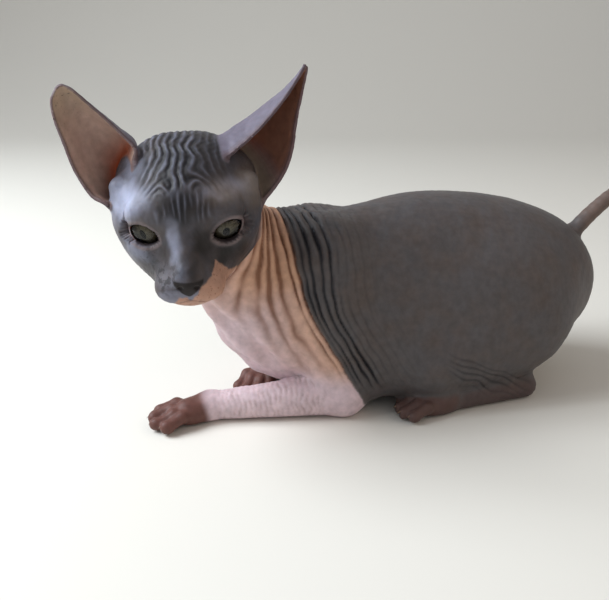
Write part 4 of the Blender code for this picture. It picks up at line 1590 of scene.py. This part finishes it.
def turned_profile(name, profile, place):
    """A round shape: profile points are (radius, forward), from the front pole to the back."""
    shape = bmesh.new()
    rings = []
    for radius, forward in profile:
        if radius < 1e-6:
            rings.append([shape.verts.new((0, -forward, 0))])
            continue
        angles = [2 * math.pi * i / EYE_SEGMENTS for i in range(EYE_SEGMENTS)]
        rings.append([shape.verts.new((radius * math.cos(a), -forward, radius * math.sin(a))) for a in angles])
    for near, far in zip(rings, rings[1:]):
        for i in range(EYE_SEGMENTS):
            j = (i + 1) % EYE_SEGMENTS
            corners = {0: near[i % len(near)], 1: near[j % len(near)], 2: far[j % len(far)], 3: far[i % len(far)]}
            ring = list(dict.fromkeys(corners.values()))
            if len(ring) > 2:
                shape.faces.new(ring)
    bmesh.ops.recalc_face_normals(shape, faces=shape.faces)
    mesh = bpy.data.meshes.new(name)
    shape.to_mesh(mesh)
    shape.free()
    mesh.shade_smooth()
    if name.startswith("eyeball"):
        points = points_of(mesh)
        pupil = np.hypot(points[:, 0], points[:, 2]) < PUPIL_RADIUS + 0.01
        points[pupil] *= (PUPIL_STRETCH[0], 1.0, PUPIL_STRETCH[1])
        set_points(mesh, points)
    mesh.transform(Matrix.Scale(MM, 4) @ Matrix.Translation(SLIDE) @ place)
    return linked(name, mesh)


def eye_profile():
    """From the pupil, over the iris, round the white to the back."""
    iris_depth = math.sqrt(EYE_RADIUS**2 - IRIS_RADIUS**2)
    steps = (
        (0, 0.58),
        (PUPIL_RADIUS * 0.9, 0.58),
        (PUPIL_RADIUS, 0.6),
        (IRIS_RADIUS * 0.5, 0.6),
        (IRIS_RADIUS * 0.8, 0.35),
        (IRIS_RADIUS, 0),
    )
    profile = [(radius, iris_depth + forward) for radius, forward in steps]
    start = math.asin(IRIS_RADIUS / EYE_RADIUS)
    for i in range(25):
        angle = start + (math.pi - start) * i / 24
        profile.append((EYE_RADIUS * math.sin(angle), EYE_RADIUS * math.cos(angle)))
    profile[-1] = (0, -EYE_RADIUS)
    return profile


def cornea_profile():
    """A thin clear shell from the iris's edge over a bulge."""
    depth = math.sqrt(EYE_RADIUS**2 - CORNEA_RADIUS**2)
    curve = (CORNEA_RADIUS**2 + CORNEA_BULGE**2) / (2 * CORNEA_BULGE)
    outer = []
    for i in range(CORNEA_RINGS):
        angle = math.asin(CORNEA_RADIUS / curve) * i / (CORNEA_RINGS - 1)
        outer.append((curve * math.sin(angle), depth + CORNEA_BULGE - curve * (1 - math.cos(angle))))
    inner = [(radius * 0.97, forward - CORNEA_WALL) for radius, forward in reversed(outer)]
    inner[-1] = (0, inner[-1][1])
    return outer + inner


IRIS_MIDDLE = (0.150, 0.138, 0.096, 1.0)
IRIS_OUTER = (0.075, 0.056, 0.034, 1.0)
IRIS_RING = (0.014, 0.010, 0.008, 1.0)
EYE_WHITE_IN_SHADE = (0.05, 0.03, 0.026, 1.0)
PUPIL_BLACK = (0.002, 0.002, 0.003, 1.0)


def iris_finish():
    """Fibres from a dark pupil out to a darker ring, by the share of the iris's radius."""
    eye = Finish("iris")
    spread = eye.mask("spread")
    mottle = eye.noise(900, 3.0)
    tint = eye.mix(eye.ranged(spread, 0.25, 0.85), IRIS_MIDDLE, IRIS_OUTER)
    tint = eye.times(tint, eye.ranged(eye.mask("fibre") * 0.7 + mottle * 0.3, 0.2, 0.8, 0.75, 1.2))
    tint = eye.mix(eye.ranged(spread, 0.78, 0.95), tint, IRIS_RING)
    # the white of the eye, painted dark brown as shade in the eye's corners
    tint = eye.mix(eye.ranged(spread, 1.0, 1.04), tint, EYE_WHITE_IN_SHADE)
    tint = eye.mix(eye.ranged(spread, 0.21, 0.235), PUPIL_BLACK, tint)
    eye.set(Base_Color=tint, Roughness=0.5, Specular_IOR_Level=0.0)
    return eye.material


def clear_finish(name="cornea", mirror=True):
    """A wet clear surface: see-through, with a mirror on top that grows towards the edges."""
    clear = Finish(name)
    both = clear.shade("ShaderNodeBsdfTransparent", None, {"Color": (1, 1, 1, 1)})
    if mirror:
        shine = clear.shade("ShaderNodeBsdfGlossy", None, {"Color": (1, 1, 1, 1), "Roughness": 0.03})
        rise = clear.shade("ShaderNodeFresnel", None, {"IOR": 1.38})
        both = clear.shade("ShaderNodeMixShader", None, {0: rise, 1: both, 2: shine})
    clear.links.new(both.socket, clear.nodes["Material Output"].inputs["Surface"])
    clear.nodes.remove(clear.surface)
    return clear.material


def eye_masks(ball, place):
    """Stores the share of the iris's radius, with the pupil's oval made round, and the fibres round it."""
    local = points_of(ball.data) / MM - SLIDE
    local = (local - np.array(place.translation)) @ np.array(place.to_3x3())
    wide, tall = PUPIL_STRETCH
    spread = np.hypot(local[:, 0], local[:, 2]) / IRIS_RADIUS
    oval = np.hypot(local[:, 0] / wide, local[:, 2] / tall) / IRIS_RADIUS
    spread = np.where(oval < (PUPIL_RADIUS + 0.1) / IRIS_RADIUS, oval, spread)
    turn = np.arctan2(local[:, 2], local[:, 0])
    store(ball.data, "spread", np.where(local[:, 1] > -3.0, 1.5, spread))
    store(ball.data, "fibre", 0.5 + 0.5 * np.sin(turn * 23 + 3 * np.sin(turn * 5)))


iris_material = iris_finish()
cornea_front = clear_finish()
cornea_back = clear_finish("cornea_back", mirror=False)
for name, side in SIDES.items():
    place = Matrix.Translation(from_head(eye_middle(side))) @ gaze(side)
    ball = turned_profile("eyeball_" + name, eye_profile(), place)
    eye_masks(ball, place)
    ball.data.materials.append(iris_material)
    cornea = turned_profile("cornea_" + name, cornea_profile(), place)
    cornea.data.materials.append(cornea_front)
    cornea.data.materials.append(cornea_back)
    faces = cornea.data.polygons
    front_faces = (CORNEA_RINGS - 1) * EYE_SEGMENTS
    faces.foreach_set("material_index", [int(i >= front_faces) for i in range(len(faces))])
    for piece in (ball, cornea):
        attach(piece, "root")
        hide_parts("eye_" + name)

# %% [markdown]
# ## Claws
# Each toe ends in a small hooked claw, mostly drawn in. They are all one shape, so a node tree bends one cone
# and sets it on a point at every toe, turned along that toe.

# %% Points at the toes
CLAW_LENGTH = 2.6
CLAW_RADIUS = 0.5
CLAW_HOOK = 0.9


def toe_points():
    """Where each claw leaves its toe, and which way it points."""
    places = []
    aims = []
    for place, turn, width, length in PAWS.values():
        for share, reach in TOES:
            root = np.array((share * width * 1.12, -reach * length - 0.09 * width, 3.7 + 0.075 * width))
            aim = np.array((share * 0.35, -1.0, -0.12))
            places.append((paw_axes(turn) @ root + place + SLIDE) * MM)
            aims.append(paw_axes(turn) @ aim)
    return np.array(places), np.array(aims)


places, aims = toe_points()
claws = made("claws", places, [])
layer = claws.data.attributes.new("aim", "FLOAT_VECTOR", "POINT")
layer.data.foreach_set("vector", aims.astype(np.float32).ravel())
print("claws", len(places))

# %% The claws' node tree
horn = Finish("claw_horn")
streak = horn.noise(2500, 2.0)
HORN = (0.30, 0.20, 0.13, 1.0)
HORN_DARK = (0.14, 0.08, 0.05, 1.0)
horn.set(Base_Color=horn.mix(streak, HORN, HORN_DARK), Roughness=0.3)


def claw_tree():
    """Cone, bent downwards towards its point, set on every toe point along its aim."""
    tree = bpy.data.node_groups.new("claws", "GeometryNodeTree")
    tree.interface.new_socket("Geometry", in_out="INPUT", socket_type="NodeSocketGeometry")
    tree.interface.new_socket("Geometry", in_out="OUTPUT", socket_type="NodeSocketGeometry")
    kinds = {"Length": "Float", "Radius": "Float", "Hook": "Float", "Material": "Material"}
    inputs = [tree.interface.new_socket(n, in_out="INPUT", socket_type="NodeSocket" + k) for n, k in kinds.items()]

    def node(kind, settings=None, **links):
        added = tree.nodes.new(kind)
        for name, value in (settings or {}).items():
            setattr(added, name, value)
        for name, value in links.items():
            numbered = name[0] == "i" and name[1:].isdigit()
            socket = added.inputs[int(name[1:]) if numbered else name.replace("_", " ")]
            if isinstance(value, bpy.types.NodeSocket):
                tree.links.new(value, socket)
            else:
                socket.default_value = value
        return added

    start = node("NodeGroupInput")
    length, radius, hook = (start.outputs[name] for name in ("Length", "Radius", "Hook"))
    cone = node("GeometryNodeMeshCone", Vertices=14, Side_Segments=8, Radius_Bottom=radius, Depth=length)
    position = node("GeometryNodeInputPosition")
    parts = node("ShaderNodeSeparateXYZ", Vector=position.outputs[0])
    share = node("ShaderNodeMath", {"operation": "DIVIDE"}, i0=parts.outputs["Z"], i1=length)
    square = node("ShaderNodeMath", {"operation": "POWER"}, i0=share.outputs[0], i1=2.0)
    drop = node("ShaderNodeMath", {"operation": "MULTIPLY"}, i0=square.outputs[0], i1=hook)
    offset = node("ShaderNodeCombineXYZ", Y=drop.outputs[0])
    bent = node("GeometryNodeSetPosition", Geometry=cone.outputs["Mesh"], Offset=offset.outputs[0])
    aim = node("GeometryNodeInputNamedAttribute", {"data_type": "FLOAT_VECTOR"}, Name="aim")
    facing = node("FunctionNodeAlignRotationToVector", {"axis": "Z", "pivot_axis": "AUTO"}, Vector=aim.outputs[0])
    upright = node("FunctionNodeAlignRotationToVector", {"axis": "Y", "pivot_axis": "Z"},
                   Rotation=facing.outputs[0], Vector=(0.0, 0.0, -1.0))
    spread = node("GeometryNodeInstanceOnPoints", Points=start.outputs["Geometry"], Instance=bent.outputs["Geometry"],
                  Rotation=upright.outputs[0])
    real = node("GeometryNodeRealizeInstances", Geometry=spread.outputs["Instances"])
    coloured = node("GeometryNodeSetMaterial", Geometry=real.outputs[0], Material=start.outputs["Material"])
    node("NodeGroupOutput", Geometry=coloured.outputs[0])
    return tree, [socket.identifier for socket in inputs]


tree, names = claw_tree()
grow = claws.modifiers.new("grow", "NODES")
grow.node_group = tree
for name, value in zip(names, (CLAW_LENGTH * MM, CLAW_RADIUS * MM, CLAW_HOOK * MM, horn.material)):
    grow[name] = value
settled(claws)
claws.data.shade_smooth()
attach(claws, "root")
print("claws", len(claws.data.polygons), "faces")

# %% [markdown]
# ## Riding and replacing
# Every piece rides on the one body, and the skin stands for all the nodes of flesh.

# %% Skin in the solid model's place
SKIN_NODES = {
    "skin_head": ("skin_grey", "head"),
    "skin_ear_left": ("skin_ear", "ear_left"),
    "skin_ear_right": ("skin_ear", "ear_right"),
    "skin_front": (
        "skin_pink", "neck", "upper_arm_left", "upper_arm_right", "forearm_left", "forearm_right",
        "forepaw_left", "forepaw_right",
    ),
    "skin_belly": ("skin_grey", "torso"),
    "skin_rear": (
        "skin_grey", "thigh_left", "thigh_right", "hind_leg_left", "hind_leg_right", "hind_paw_left",
        "hind_paw_right", "tail_base", "tail_middle", "tail_tip",
    ),
}
for piece in skin_pieces:
    slot, *nodes = SKIN_NODES[piece.name]
    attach(piece, "root")
    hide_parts(*nodes)
